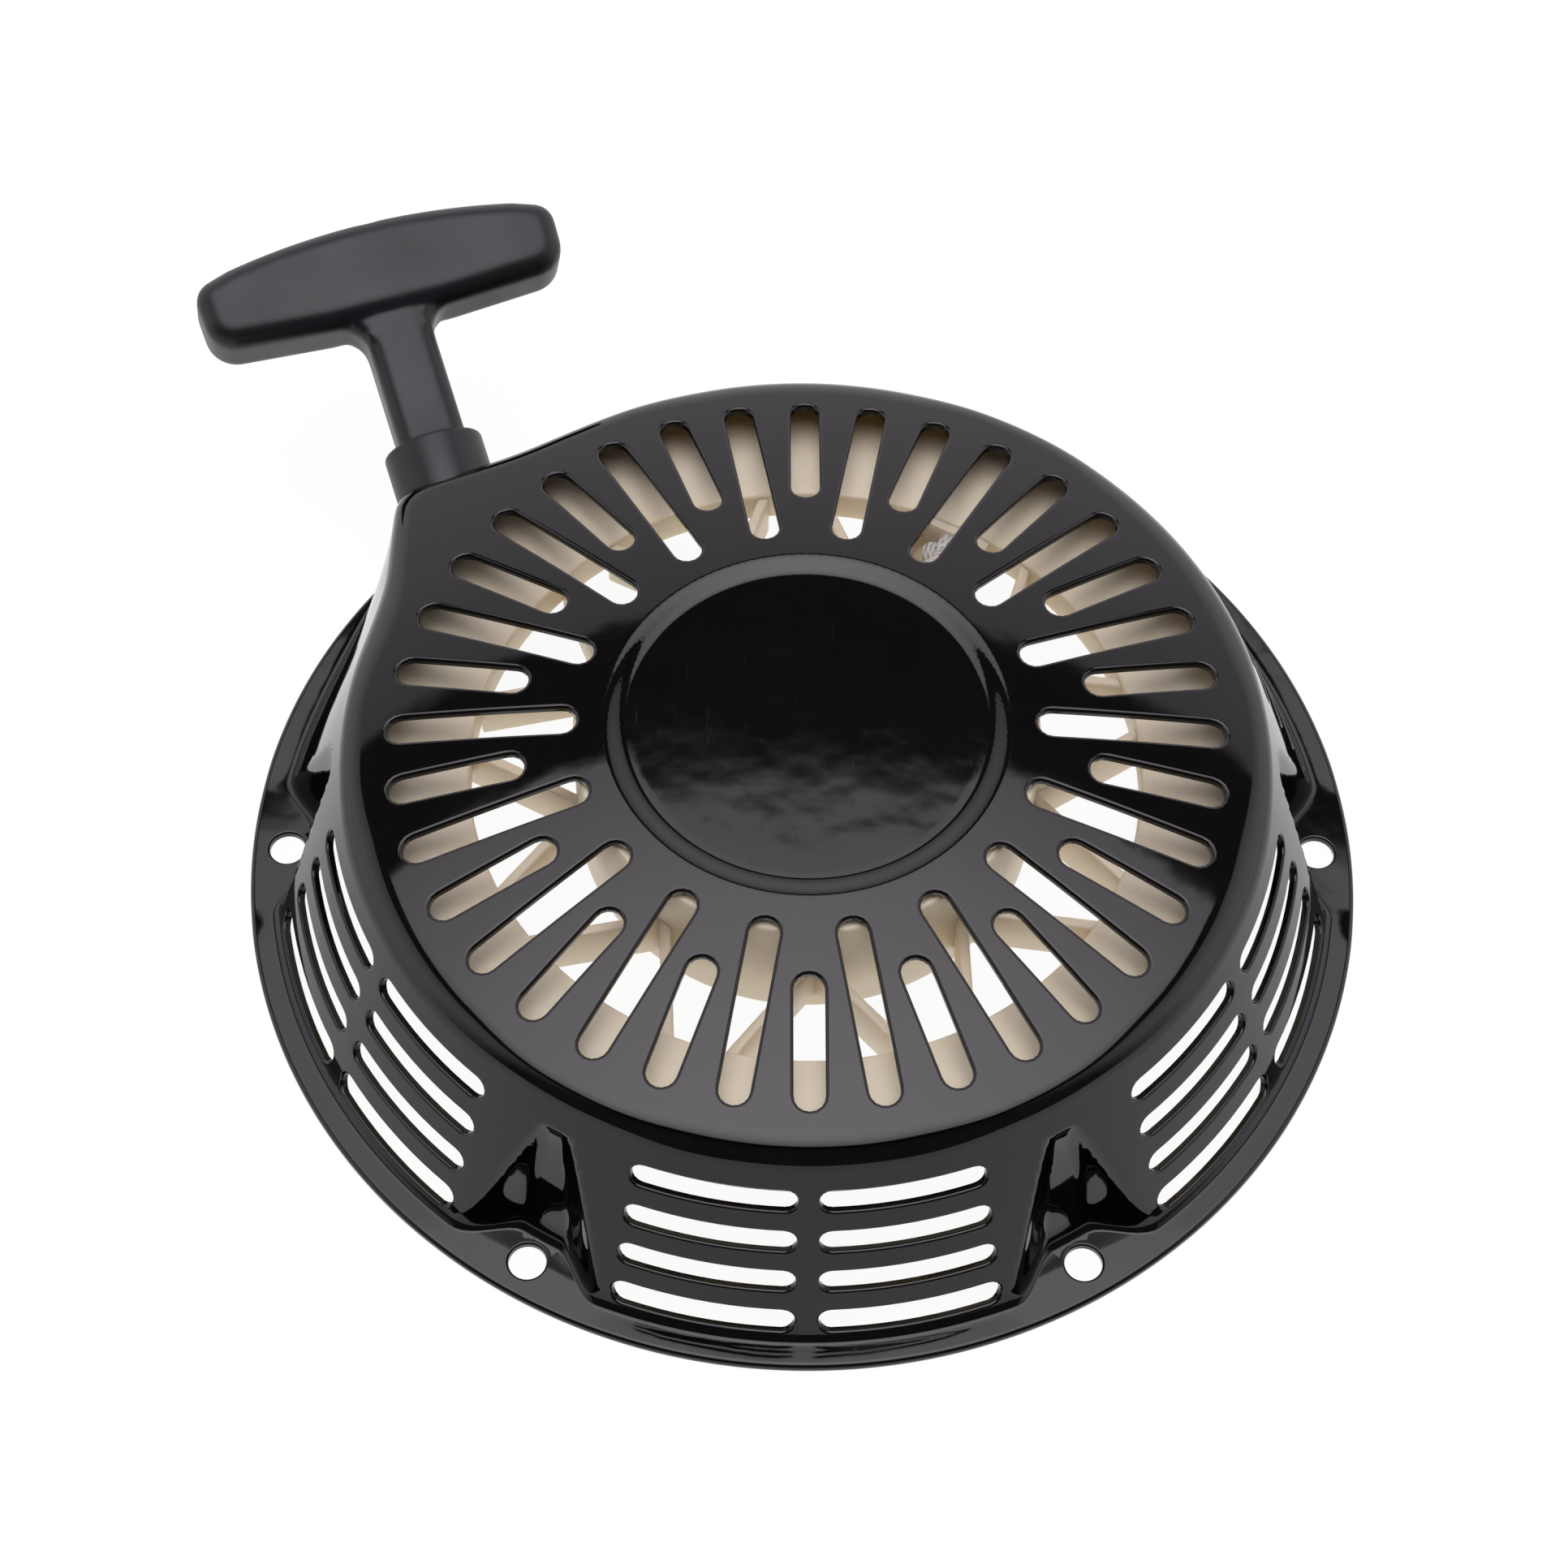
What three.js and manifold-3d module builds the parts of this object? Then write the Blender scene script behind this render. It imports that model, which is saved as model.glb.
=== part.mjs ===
// Recoil (pull) starter of a small petrol engine, in millimetres, +Z up.
// Origin: on the reel's axis, in the plane of the flange that bolts to the engine. The bolt holes
// stand at 0, 60 ... 300 degrees from +X. The rope leaves the cover towards -X and +Y.
import * as THREE from 'three';
import { mergeVertices } from 'three/addons/utils/BufferGeometryUtils.js';
import Module from 'manifold-3d';

const wasm = await Module();
wasm.setup();
const RAD = Math.PI / 180;

// ---- pressed steel cover
const SHEET = 1.5;
const FLANGE_R = 112.5;
const BOLT_CIRCLE_R = 105.3;
const BOLT_HOLE_R = 3.6;
const BOLTS = 6;
const CROWN_TOP = 51.4;          // height of the domed top at its middle
const CROWN_CURVE = 0.000952;    // fall per square millimetre of radius
const DISH = { floorR: 34.8, edgeR: 39.6, depth: 1.4, sag: 0.3 };
const SHOULDER_R = 89.35;        // where the dome and the wall would meet
// Tangent length of the rounded shoulder: tight near the bolts, wide over the panels, between at the bulge.
const SHOULDER_RUN = { bolt: 3.4, panel: 4.6, bulgeShare: 0.35, from: 5, over: 12, bulgeOver: 3 };
const WALL = { topR: 93.7, topZ: 33.1, slope: 0.4165, rows: [28, 15] };
const FOOT = { z: 4.5, run: 2.6, rim: 1.1 };
const POCKET = {
  apexZ: 35.6, depth: 7.5, depthZ: 2.7, deepening: 0.7, wide: 8.8, narrow: 2.4, narrowing: 1.3, flat: 0.25,
};
// The bulge is the corner of two upright faces, each given by where it faces and its distance.
const BULGE = {
  outletFaces: 109.2, outletFace: 85.5, sideFaces: 180, sideFace: 82.9, widest: 80,
  round: 5.6, join: 4, foot: 0.3,
};

// ---- openings in the cover
const SLOT = { count: 36, width: 5.8, outerR: 81.2, shortR: 54.9, longR: 44.4, cutLow: 38, cutHigh: 58 };
const LOUVRE = { rows: 4, topZ: 33.1, pitchZ: 9.1, height: 4.9, innerDeg: 1.2, outerDeg: 20.3 };
const LOUVRE_PANELS = [30, 90, 210, 270, 330];

// ---- rope outlet: the axis on which the guide, the rope and the handle sit
const THROUGH = 14;              // how far a cutter through the outlet's wall reaches to each side
const OUTLET = { at: [-74, 67.2, 32.5], azimuth: 109.2, tilt: 20, roll: -1 };
// (distances along it are counted outwards from the wall of the cover)
const GUIDE = {
  r: 10.4, length: 10.7, rim: 1.2, boreR: 2.9, waistR: 7.6, holeR: 8.0,
  lipR: 9.4, lipFrom: -6, lipTo: -2, socketR: 8.5, socketFrom: 6.5,
};
const GRIP = {
  length: 77.5, near: 38.7, far: 60.2, endNear: 40.4, endFar: 55.4, thick: 16.4,
  bevel: 3.4, tuckNear: 3, tuckFar: 6, cheek: 4, cheekIn: 2.5, cheekBack: 1.5,
};
const STEM = { start: 7.0, half: 7.1, thick: 13.2, chamfer: 3, flare: 4.5, flareRun: 6.5, boreR: 2.65 };
const RECESS = { r: 6.5, from: 49 };
const STOPPER = { innerR: 2.7, outerR: 6, from: 49.3, to: 50.4 };
const HANDLE_KNOT = { at: 54.3, r: 4.8, wide: 1.15, flat: 0.72 };
const CLEARANCE = 0.3;           // gap left between pieces that touch

// ---- rope, reel and spring
const ROPE_R = 2.25;
const LEAD_R = 2.2;
const ROPE_Z = 31.4;
const ROPE_LEAVES = { r: 86.6, azimuth: 165 };
const REEL = { r: 89.2, drumR: 67.4, ringR: 65.7, low: 27.7, high: 35.1, groove: 5.0 };
const HUB = {
  r: 45.2, wall: 2.6, low: 17.7, floor: 20.5, high: 46.5,
  boreR: 7.3, bossR: 12, bossLow: 12, collarR: 11, collarHigh: 22.5,
};
const SPOKES = { pairs: 9, first: 72, thick: 2.2, spread: 15, low: 23, high: 34, rootIn: 1.2, tipOut: 0.8 };
const KNOT_POCKET = {
  azimuth: 62, r: 57.5, size: 13, wall: 1.8, low: 26.5, floor: 2, below: 0.6, holeR: 2.5,
};
const REEL_KNOT = { r: 4.4, flat: 0.85, tailR: 2.1 };
const SPRING = { turns: 7, innerR: 12.5, outerR: 41, strip: 0.9, low: 23.5, high: 43 };

// ---- ratchet under the reel
const POST = {
  r: 7, headR: 15, headThick: 2, filletR: 10, shoulderZ: 23, topZ: 46.7, lowZ: 6.5,
  threadR: 2.75, threadTop: 19,
};
const PAWL = { pivotR: 21, length: 20.4, lead: -12.2, low: 12.4, high: 15.2 };
const PIN = { r: 2, headR: 3.1, low: 11.2, headHigh: 12.1, high: 19.3, holeHigh: 19.6 };
const PAWL_SPRING = { wireR: 0.35, coilR: 3.1, low: 15.85, rise: 1.2, sweep: 470, start: 110 };
const PEG = { reach: 10, r: 1.5, low: 8.2 };
const LAG = { guideDeg: 30, pawlDeg: 25 };
const RATCHET_PLATE = { r: 29.5, low: 8.6, high: 10.9, holeR: 7.5 };
const CLIP = { wireR: 0.75, ringR: 8.7, z: 7.45, sweep: 320, leg: [[12.5, 324], [16, 326]] };
const WASHER = { innerR: 2.8, outerR: 12, low: 5.1, high: 6.2 };
const SCREW = {
  hexR: 6.9, low: 0.6, hexHigh: 4, flangeR: 8.2, flangeLow: 3.4, flangeHigh: 4.8, shankR: 2.45, high: 17,
};

// ---- colours
const paint = new THREE.MeshStandardMaterial({ color: 0x121113, roughness: 0.18, metalness: 0.0 });
const blackPlastic = new THREE.MeshStandardMaterial({ color: 0x2a2b2d, roughness: 0.5 });
const nylon = new THREE.MeshStandardMaterial({ color: 0xd8c9a8, roughness: 0.45 });
const ropeFibre = new THREE.MeshStandardMaterial({ color: 0xcfcac0, roughness: 0.9 });
const steel = new THREE.MeshStandardMaterial({ color: 0x9a9c9e, roughness: 0.35, metalness: 1.0 });
const springSteel = new THREE.MeshStandardMaterial({ color: 0x55585c, roughness: 0.3, metalness: 1.0 });

// ---------------------------------------------------------------- general helpers
function solid(geometry) {
  const bare = geometry.index ? geometry.toNonIndexed() : geometry.clone();
  bare.deleteAttribute('normal');
  bare.deleteAttribute('uv');
  const merged = mergeVertices(bare, 1e-4);
  const mesh = new wasm.Mesh({
    numProp: 3,
    vertProperties: new Float32Array(merged.attributes.position.array),
    triVerts: new Uint32Array(merged.index.array),
  });
  return new wasm.Manifold(mesh);
}

function geometryOf(manifold) {
  const mesh = manifold.getMesh();
  const geometry = new THREE.BufferGeometry();
  geometry.setAttribute('position', new THREE.BufferAttribute(new Float32Array(mesh.vertProperties), 3));
  geometry.setIndex(new THREE.BufferAttribute(new Uint32Array(mesh.triVerts), 1));
  return geometry;
}

function part(name, body, material) {
  const geometry = body.isBufferGeometry ? body : geometryOf(body);
  geometry.computeVertexNormals();
  const mesh = new THREE.Mesh(geometry, material);
  mesh.name = name;
  return mesh;
}

const polar = (r, deg) => [r * Math.cos(deg * RAD), r * Math.sin(deg * RAD)];
const smooth = (t) => {
  const x = Math.min(1, Math.max(0, t));
  return x * x * (3 - 2 * x);
};

// A solid of revolution about Z from a closed profile of [radius, height] points.
function turned(profile, segments = 48) {
  const points = [...profile, profile[0]].map(([r, z]) => new THREE.Vector2(r, z));
  return new THREE.LatheGeometry(points, segments).rotateX(Math.PI / 2);
}

function cylinder(r, low, high, segments = 24) {
  const geometry = new THREE.CylinderGeometry(r, r, high - low, segments);
  return geometry.rotateX(Math.PI / 2).translate(0, 0, (low + high) / 2);
}

// An upright prism from an outline, which is a THREE.Shape or a list of [x, y] points.
function prism(outline, low, high, options = {}) {
  const isShape = outline instanceof THREE.Shape;
  const shape = isShape ? outline : new THREE.Shape(outline.map(([x, y]) => new THREE.Vector2(x, y)));
  const settings = { depth: high - low, bevelEnabled: false, curveSegments: 4, ...options };
  return new THREE.ExtrudeGeometry(shape, settings).translate(0, 0, low);
}

// The outline of a straight slot from x0 to x1 with round ends.
function slotOutline(x0, x1, width, steps = 3) {
  const half = width / 2;
  const points = [];
  for (const [cx, start] of [[x1 - half, -90], [x0 + half, 90]]) {
    for (let i = 0; i <= steps; i++) {
      const [dx, dy] = polar(half, start + (180 * i) / steps);
      points.push([cx + dx, dy]);
    }
  }
  return points;
}

// A round wire of radius r along a smooth curve through the points.
function wire(points, r, steps, sides = 6) {
  const path = new THREE.CatmullRomCurve3(points.map((p) => new THREE.Vector3(...p)));
  const ring = new THREE.Shape();
  for (let i = 0; i < sides; i++) {
    const [x, y] = polar(r, (360 * i) / sides);
    if (i === 0) ring.moveTo(x, y);
    else ring.lineTo(x, y);
  }
  return new THREE.ExtrudeGeometry(ring, { steps, extrudePath: path, bevelEnabled: false });
}

// ---------------------------------------------------------------- pressed steel cover
const crownZ = (r) => CROWN_TOP - CROWN_CURVE * r * r;
const coneR = (z) => WALL.topR + (WALL.topZ - z) * WALL.slope;

// The larger of two lengths, with a blend where they differ by less than run.
const blendedMax = (a, b, run) => Math.max(a, b) + Math.max(0, run - Math.abs(a - b)) ** 2 / (4 * run);

// How far the bulge carries the shoulder outwards.
function bulge(deg) {
  const faceR = (distance, off) => distance / Math.cos(Math.min(BULGE.widest, Math.max(0, off)) * RAD);
  const outletR = faceR(BULGE.outletFace, deg - BULGE.outletFaces);
  const sideR = faceR(BULGE.sideFace, BULGE.sideFaces - deg);
  const cornerR = -blendedMax(-outletR, -sideR, BULGE.round);
  return blendedMax(SHOULDER_R, cornerR, BULGE.join) - SHOULDER_R;
}

// The share of the bulge that is left at a height: all of it at the shoulder, little at the foot.
function bulgeShare(z) {
  return BULGE.foot + (1 - BULGE.foot) * ((z - FOOT.z) / (crownZ(SHOULDER_R) - FOOT.z));
}

// The angle to the nearest bolt hole.
function offBolt(deg) {
  const pitch = 360 / BOLTS;
  return Math.abs(deg - pitch * Math.round(deg / pitch));
}

function shoulderRun(deg) {
  const { bolt, panel, bulgeShare, from, over, bulgeOver } = SHOULDER_RUN;
  const share = 1 - (1 - bulgeShare) * smooth(bulge(deg) / bulgeOver);
  return bolt + (panel - bolt) * share * smooth((offBolt(deg) - from) / over);
}

// How far the wall is pressed in around the nearest bolt hole.
function pocket(deg, z) {
  const rise = Math.max(0, Math.min(1, (z - POCKET.depthZ) / (POCKET.apexZ - POCKET.depthZ)));
  const width = POCKET.wide + (POCKET.narrow - POCKET.wide) * rise ** POCKET.narrowing;
  const across = smooth((1 - offBolt(deg) / width) / (1 - POCKET.flat));
  return POCKET.depth * (1 - rise) ** POCKET.deepening * across;
}

const wallR = (deg, z) => coneR(z) + bulgeShare(z) * bulge(deg) - pocket(deg, z);

// The point at t on the curve that leaves a towards b and arrives at c from b.
function bend(a, b, c, t) {
  const u = 1 - t;
  return [0, 1].map((k) => u * u * a[k] + 2 * u * t * b[k] + t * t * c[k]);
}

// The cover's outer skin at one azimuth, as [radius, height] points from the middle to the rim.
function meridian(deg) {
  const points = [[DISH.floorR, crownZ(DISH.floorR) - DISH.depth]];
  const dishMid = (DISH.floorR + DISH.edgeR) / 2;
  points.push([dishMid, crownZ(dishMid) - DISH.depth / 2]);
  points.push([DISH.edgeR, crownZ(DISH.edgeR)]);
  const cornerR = SHOULDER_R + bulge(deg);
  const corner = [cornerR, crownZ(cornerR)];
  const run = shoulderRun(deg);
  const start = [cornerR - run, crownZ(cornerR - run)];
  const endZ = corner[1] - run * Math.cos(Math.atan(WALL.slope));
  const end = [wallR(deg, endZ), endZ];
  for (const t of [0, 0.5, 1]) points.push(bend(start, corner, end, t));
  for (const z of WALL.rows) points.push([wallR(deg, z), z]);
  const footR = wallR(deg, FOOT.z);
  const flatR = Math.min(footR + FOOT.run, FLANGE_R - FOOT.rim);
  points.push([footR, FOOT.z]);
  points.push([flatR, SHEET]);
  points.push([FLANGE_R, SHEET]);
  return points;
}

// Moves a polyline of [radius, height] points along its own normals (positive is outwards).
function offset(points, distance) {
  return points.map(([r, z], i) => {
    const before = points[Math.max(0, i - 1)];
    const after = points[Math.min(points.length - 1, i + 1)];
    const length = Math.hypot(after[0] - before[0], after[1] - before[1]);
    const nr = -(after[1] - before[1]) / length;
    const nz = (after[0] - before[0]) / length;
    return [r + nr * distance, z + nz * distance];
  });
}

// Azimuths, counted from a bolt hole, at which the cover's skin has its corners.
const PLAIN_STEPS = [0, 3, 6, 9, 16, 23, 30, 37, 44, 51, 54, 57];
const BULGE_STEPS = [0, 3, 6, 9, 13, 17, 20, 22.5, 24.5, 27, 30, 34, 40, 46, 51, 54, 57];
const BULGE_SECTOR = 2;

function coverAzimuths() {
  const list = [];
  for (let sector = 0; sector < BOLTS; sector++) {
    const steps = sector === BULGE_SECTOR ? BULGE_STEPS : PLAIN_STEPS;
    for (const step of steps) list.push(sector * 60 + step);
  }
  return list;
}

// The closed skin of the cover. grow makes it thicker on both sides, to clear a neighbour.
function coverShell(grow = 0) {
  const azimuths = coverAzimuths();
  const columns = azimuths.map((deg) => {
    const skin = meridian(deg);
    const outer = offset(skin, grow);
    const inner = offset(skin, -(SHEET + grow));
    for (const i of [skin.length - 2, skin.length - 1]) {
      outer[i] = [skin[i][0], SHEET + grow];
      inner[i] = [skin[i][0], -grow];
    }
    return [...outer, ...inner.reverse()].map(([r, z]) => [...polar(r, deg), z]);
  });
  const rows = columns[0].length;
  const position = columns.flat(2);
  const tip = position.length / 3;
  const topZ = crownZ(DISH.floorR) - DISH.depth - DISH.sag;
  position.push(0, 0, topZ + grow, 0, 0, topZ - SHEET - grow);
  const index = [];
  columns.forEach((column, c) => {
    const a = c * rows;
    const b = ((c + 1) % columns.length) * rows;
    index.push(tip, a, b);
    for (let i = 0; i < rows - 1; i++) index.push(a + i, a + i + 1, b + i, b + i, a + i + 1, b + i + 1);
    index.push(a + rows - 1, tip + 1, b + rows - 1);
  });
  const geometry = new THREE.BufferGeometry();
  geometry.setAttribute('position', new THREE.Float32BufferAttribute(position, 3));
  geometry.setIndex(index);
  return solid(geometry);
}

// A cutter through the sloping wall, square to it, from an outline of [degrees, height] points.
function wallCutter(outline) {
  const tilt = Math.atan(WALL.slope);
  const reach = 5;
  const lifted = (d) => ([deg, z]) => [...polar(coneR(z) + d * Math.cos(tilt), deg), z + d * Math.sin(tilt)];
  const ends = [-reach, reach].map((d) => outline.map(lifted(d)));
  const n = outline.length;
  const index = [];
  for (let i = 0; i < n; i++) {
    const j = (i + 1) % n;
    index.push(i, j, n + i, j, n + j, n + i);
  }
  for (let i = 1; i < n - 1; i++) index.push(0, i + 1, i, n, n + i, n + i + 1);
  const geometry = new THREE.BufferGeometry();
  geometry.setAttribute('position', new THREE.Float32BufferAttribute(ends.flat(2), 3));
  geometry.setIndex(index);
  return solid(geometry);
}

function topSlots() {
  const cutters = [];
  for (let i = 0; i < SLOT.count; i++) {
    const inner = i % 2 === 0 ? SLOT.longR : SLOT.shortR;
    const outline = slotOutline(inner, SLOT.outerR, SLOT.width);
    cutters.push(solid(prism(outline, SLOT.cutLow, SLOT.cutHigh).rotateZ((i * 360 * RAD) / SLOT.count)));
  }
  return cutters;
}

function wallLouvres() {
  const cutters = [];
  const steepness = Math.cos(Math.atan(WALL.slope));
  for (const panel of LOUVRE_PANELS) {
    for (const side of [-1, 1]) {
      for (let row = 0; row < LOUVRE.rows; row++) {
        const z = LOUVRE.topZ - row * LOUVRE.pitchZ;
        const degPerMm = 1 / (coneR(z) * RAD);
        const flat = slotOutline(LOUVRE.innerDeg / degPerMm, LOUVRE.outerDeg / degPerMm, LOUVRE.height);
        const outline = flat.map(([x, y]) => [panel + side * x * degPerMm, z + y * steepness]);
        cutters.push(wallCutter(side > 0 ? outline : outline.reverse()));
      }
    }
  }
  return cutters;
}

// ---------------------------------------------------------------- rope outlet frame
// Turns a geometry built about +Z (its own X to the side, its own Y down) onto the outlet's axis.
function outletMatrix() {
  const az = OUTLET.azimuth * RAD;
  const tilt = OUTLET.tilt * RAD;
  const along = new THREE.Vector3(...polar(Math.cos(tilt), OUTLET.azimuth), Math.sin(tilt));
  const side = new THREE.Vector3(Math.sin(az), -Math.cos(az), 0);
  side.applyAxisAngle(along, -OUTLET.roll * RAD);
  const down = new THREE.Vector3().crossVectors(along, side);
  return new THREE.Matrix4().makeBasis(side, down, along).setPosition(...OUTLET.at);
}
const OUTLET_MATRIX = outletMatrix();
const onOutlet = (s) => new THREE.Vector3(0, 0, s).applyMatrix4(OUTLET_MATRIX);

function housing() {
  const guideHole = cylinder(GUIDE.holeR, -THROUGH, THROUGH, 20).applyMatrix4(OUTLET_MATRIX);
  const cutters = [...topSlots(), ...wallLouvres(), solid(guideHole)];
  for (let i = 0; i < BOLTS; i++) {
    const [x, y] = polar(BOLT_CIRCLE_R, (i * 360) / BOLTS);
    cutters.push(solid(cylinder(BOLT_HOLE_R, -SHEET, 2 * SHEET, 12).translate(x, y, 0)));
  }
  return coverShell().subtract(wasm.Manifold.union(cutters));
}

function ropeGuide() {
  const profile = [
    [GUIDE.boreR, GUIDE.lipFrom], [GUIDE.lipR, GUIDE.lipFrom], [GUIDE.lipR, GUIDE.lipTo],
    [GUIDE.waistR, GUIDE.lipTo], [GUIDE.waistR, 0], [GUIDE.r, 0],
    [GUIDE.r, GUIDE.length - GUIDE.rim], [GUIDE.r - GUIDE.rim, GUIDE.length],
    [GUIDE.socketR, GUIDE.length], [GUIDE.socketR, GUIDE.socketFrom], [GUIDE.boreR, GUIDE.socketFrom],
  ];
  const body = solid(turned(profile, 28).applyMatrix4(OUTLET_MATRIX));
  const hole = solid(cylinder(GUIDE.holeR - CLEARANCE, -THROUGH, THROUGH, 28).applyMatrix4(OUTLET_MATRIX));
  return body.subtract(coverShell(CLEARANCE).subtract(hole));
}

// ---------------------------------------------------------------- T-handle, rope and knots
function gripOutline() {
  const half = GRIP.length / 2;
  const shape = new THREE.Shape();
  shape.moveTo(-half + GRIP.tuckNear, GRIP.endNear);
  shape.lineTo(-STEM.half - STEM.flare, GRIP.near);
  shape.lineTo(STEM.half + STEM.flare, GRIP.near);
  shape.lineTo(half - GRIP.tuckNear, GRIP.endNear);
  shape.lineTo(half, GRIP.endNear + GRIP.cheek);
  shape.lineTo(half - GRIP.cheekIn, GRIP.endFar - GRIP.cheekBack);
  shape.lineTo(half - GRIP.tuckFar, GRIP.endFar);
  shape.quadraticCurveTo(0, 2 * GRIP.far - GRIP.endFar, -half + GRIP.tuckFar, GRIP.endFar);
  shape.lineTo(-half + GRIP.cheekIn, GRIP.endFar - GRIP.cheekBack);
  shape.lineTo(-half, GRIP.endNear + GRIP.cheek);
  shape.closePath();
  return shape;
}

// The stem's section: a rectangle with its corners cut off.
function stemSection() {
  const h = STEM.half;
  const t = STEM.thick / 2;
  const c = STEM.chamfer;
  return [
    [h, -t + c], [h, t - c], [h - c, t], [-h + c, t],
    [-h, t - c], [-h, -t + c], [-h + c, -t], [h - c, -t],
  ];
}

function handleGrip() {
  const flat = GRIP.thick / 2 - GRIP.bevel;
  const grip = prism(gripOutline(), -flat, flat, {
    bevelEnabled: true,
    bevelThickness: GRIP.bevel,
    bevelSize: GRIP.bevel,
    bevelOffset: -GRIP.bevel,
    bevelSegments: 3,
    curveSegments: 8,
  }).rotateX(Math.PI / 2);
  const stem = prism(stemSection(), STEM.start, GRIP.near + STEM.flareRun);
  const wide = STEM.half + STEM.flare;
  const flare = [
    [-wide, GRIP.near + 1], [-STEM.half, GRIP.near + 1 - STEM.flareRun],
    [STEM.half, GRIP.near + 1 - STEM.flareRun], [wide, GRIP.near + 1], [0, GRIP.near + 4],
  ];
  const neckHalf = STEM.thick / 2 - STEM.chamfer / 2;
  const neck = prism(flare, -neckHalf, neckHalf).rotateX(Math.PI / 2);
  const bore = solid(cylinder(STEM.boreR, STEM.start - 1, GRIP.far, 12));
  const recess = solid(cylinder(RECESS.r, RECESS.from, GRIP.far + 10, 16));
  const body = solid(grip).add(solid(stem)).add(solid(neck)).subtract(bore).subtract(recess);
  return solid(geometryOf(body).applyMatrix4(OUTLET_MATRIX));
}

function ropeStopper() {
  const { innerR, outerR, from, to } = STOPPER;
  return turned([[innerR, from], [outerR, from], [outerR, to], [innerR, to]], 20).applyMatrix4(OUTLET_MATRIX);
}

function handleKnot() {
  const ball = new THREE.SphereGeometry(HANDLE_KNOT.r, 14, 9).scale(HANDLE_KNOT.wide, 1, HANDLE_KNOT.flat);
  return ball.translate(0, 0, HANDLE_KNOT.at).applyMatrix4(OUTLET_MATRIX);
}

// The straight line on which the rope leaves the reel: the point at distance d along it.
function alongTangent(d) {
  const [x, y] = polar(ROPE_LEAVES.r, ROPE_LEAVES.azimuth);
  const [dx, dy] = polar(d, ROPE_LEAVES.azimuth - 90);
  return [x + dx, y + dy, ROPE_Z];
}

function ropeLead() {
  const inside = [3, 14, 25].map(alongTangent);
  const outside = [-6.5, -1, 6, 20, 35, 50.1].map((s) => onOutlet(s).toArray());
  return wire([...inside, ...outside], LEAD_R, 34, 8);
}

// The outer shape of the wound rope.
function ropeCoil() {
  const low = ROPE_Z - ROPE_R;
  const high = ROPE_Z + ROPE_R;
  const inner = REEL.drumR + CLEARANCE;
  const outer = ROPE_LEAVES.r - ROPE_R - CLEARANCE;
  return turned([
    [inner, low], [outer - 1, low], [outer, low + 1], [outer, high - 1], [outer - 1, high], [inner, high],
  ], 48);
}

function reelKnot() {
  const ball = new THREE.SphereGeometry(REEL_KNOT.r, 12, 8).scale(1, 1, REEL_KNOT.flat);
  const reach = REEL.drumR - KNOT_POCKET.r;
  const tail = new THREE.CylinderGeometry(REEL_KNOT.tailR, REEL_KNOT.tailR, reach, 10).rotateZ(Math.PI / 2);
  const whole = solid(ball).add(solid(tail.translate(reach / 2, 0, 0)));
  return geometryOf(whole).translate(KNOT_POCKET.r, 0, ROPE_Z).rotateZ(KNOT_POCKET.azimuth * RAD);
}

// ---------------------------------------------------------------- reel and recoil spring
function reelHub() {
  const inner = HUB.r - HUB.wall;
  return solid(turned([
    [HUB.boreR, HUB.bossLow], [HUB.bossR, HUB.bossLow], [HUB.bossR, HUB.low], [HUB.r, HUB.low],
    [HUB.r, HUB.high], [inner, HUB.high], [inner, HUB.floor], [HUB.collarR, HUB.floor],
    [HUB.collarR, HUB.collarHigh], [HUB.boreR, HUB.collarHigh],
  ], 40));
}

function reelRing() {
  const low = ROPE_Z - REEL.groove / 2;
  const high = ROPE_Z + REEL.groove / 2;
  return solid(turned([
    [REEL.ringR, REEL.low], [REEL.r, REEL.low], [REEL.r, low], [REEL.drumR, low],
    [REEL.drumR, high], [REEL.r, high], [REEL.r, REEL.high], [REEL.ringR, REEL.high],
  ], 60));
}

// One straight rib from the hub at azimuth a to the ring at azimuth b.
function rib(a, b) {
  const from = polar(HUB.r - SPOKES.rootIn, a);
  const to = polar(REEL.ringR + SPOKES.tipOut, b);
  const length = Math.hypot(to[0] - from[0], to[1] - from[1]);
  const half = SPOKES.thick / 2;
  const heading = Math.atan2(to[1] - from[1], to[0] - from[0]);
  const bar = prism([[0, -half], [length, -half], [length, half], [0, half]], SPOKES.low, SPOKES.high);
  return solid(bar.rotateZ(heading).translate(from[0], from[1], 0));
}

// The walled pocket that holds the rope's knot, between the hub and the ring.
function knotPocket() {
  const half = KNOT_POCKET.size / 2 + KNOT_POCKET.wall;
  const from = HUB.r - SPOKES.rootIn;
  const to = REEL.ringR + 0.6;
  const outline = [[from, -half], [to, -half], [to, half], [from, half]];
  return solid(prism(outline, KNOT_POCKET.low - KNOT_POCKET.floor, REEL.high - KNOT_POCKET.below)
    .rotateZ(KNOT_POCKET.azimuth * RAD));
}

// What is cut out of the reel for the knot, the rope's end and the pawls' pins.
function reelHoles() {
  const { size, r, low, holeR, azimuth } = KNOT_POCKET;
  const hollow = new THREE.BoxGeometry(size, size, 20).translate(r, 0, low + 10).rotateZ(azimuth * RAD);
  const hole = new THREE.CylinderGeometry(holeR, holeR, 12, 10).rotateZ(Math.PI / 2);
  const holes = [solid(hollow), solid(hole.translate(REEL.ringR, 0, ROPE_Z).rotateZ(azimuth * RAD))];
  for (const side of [1, -1]) {
    const pinHole = cylinder(PIN.r + CLEARANCE, HUB.low - 1, PIN.holeHigh, 12);
    holes.push(solid(pinHole.translate(side * PAWL.pivotR, 0, 0)));
  }
  return wasm.Manifold.union(holes);
}

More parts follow.
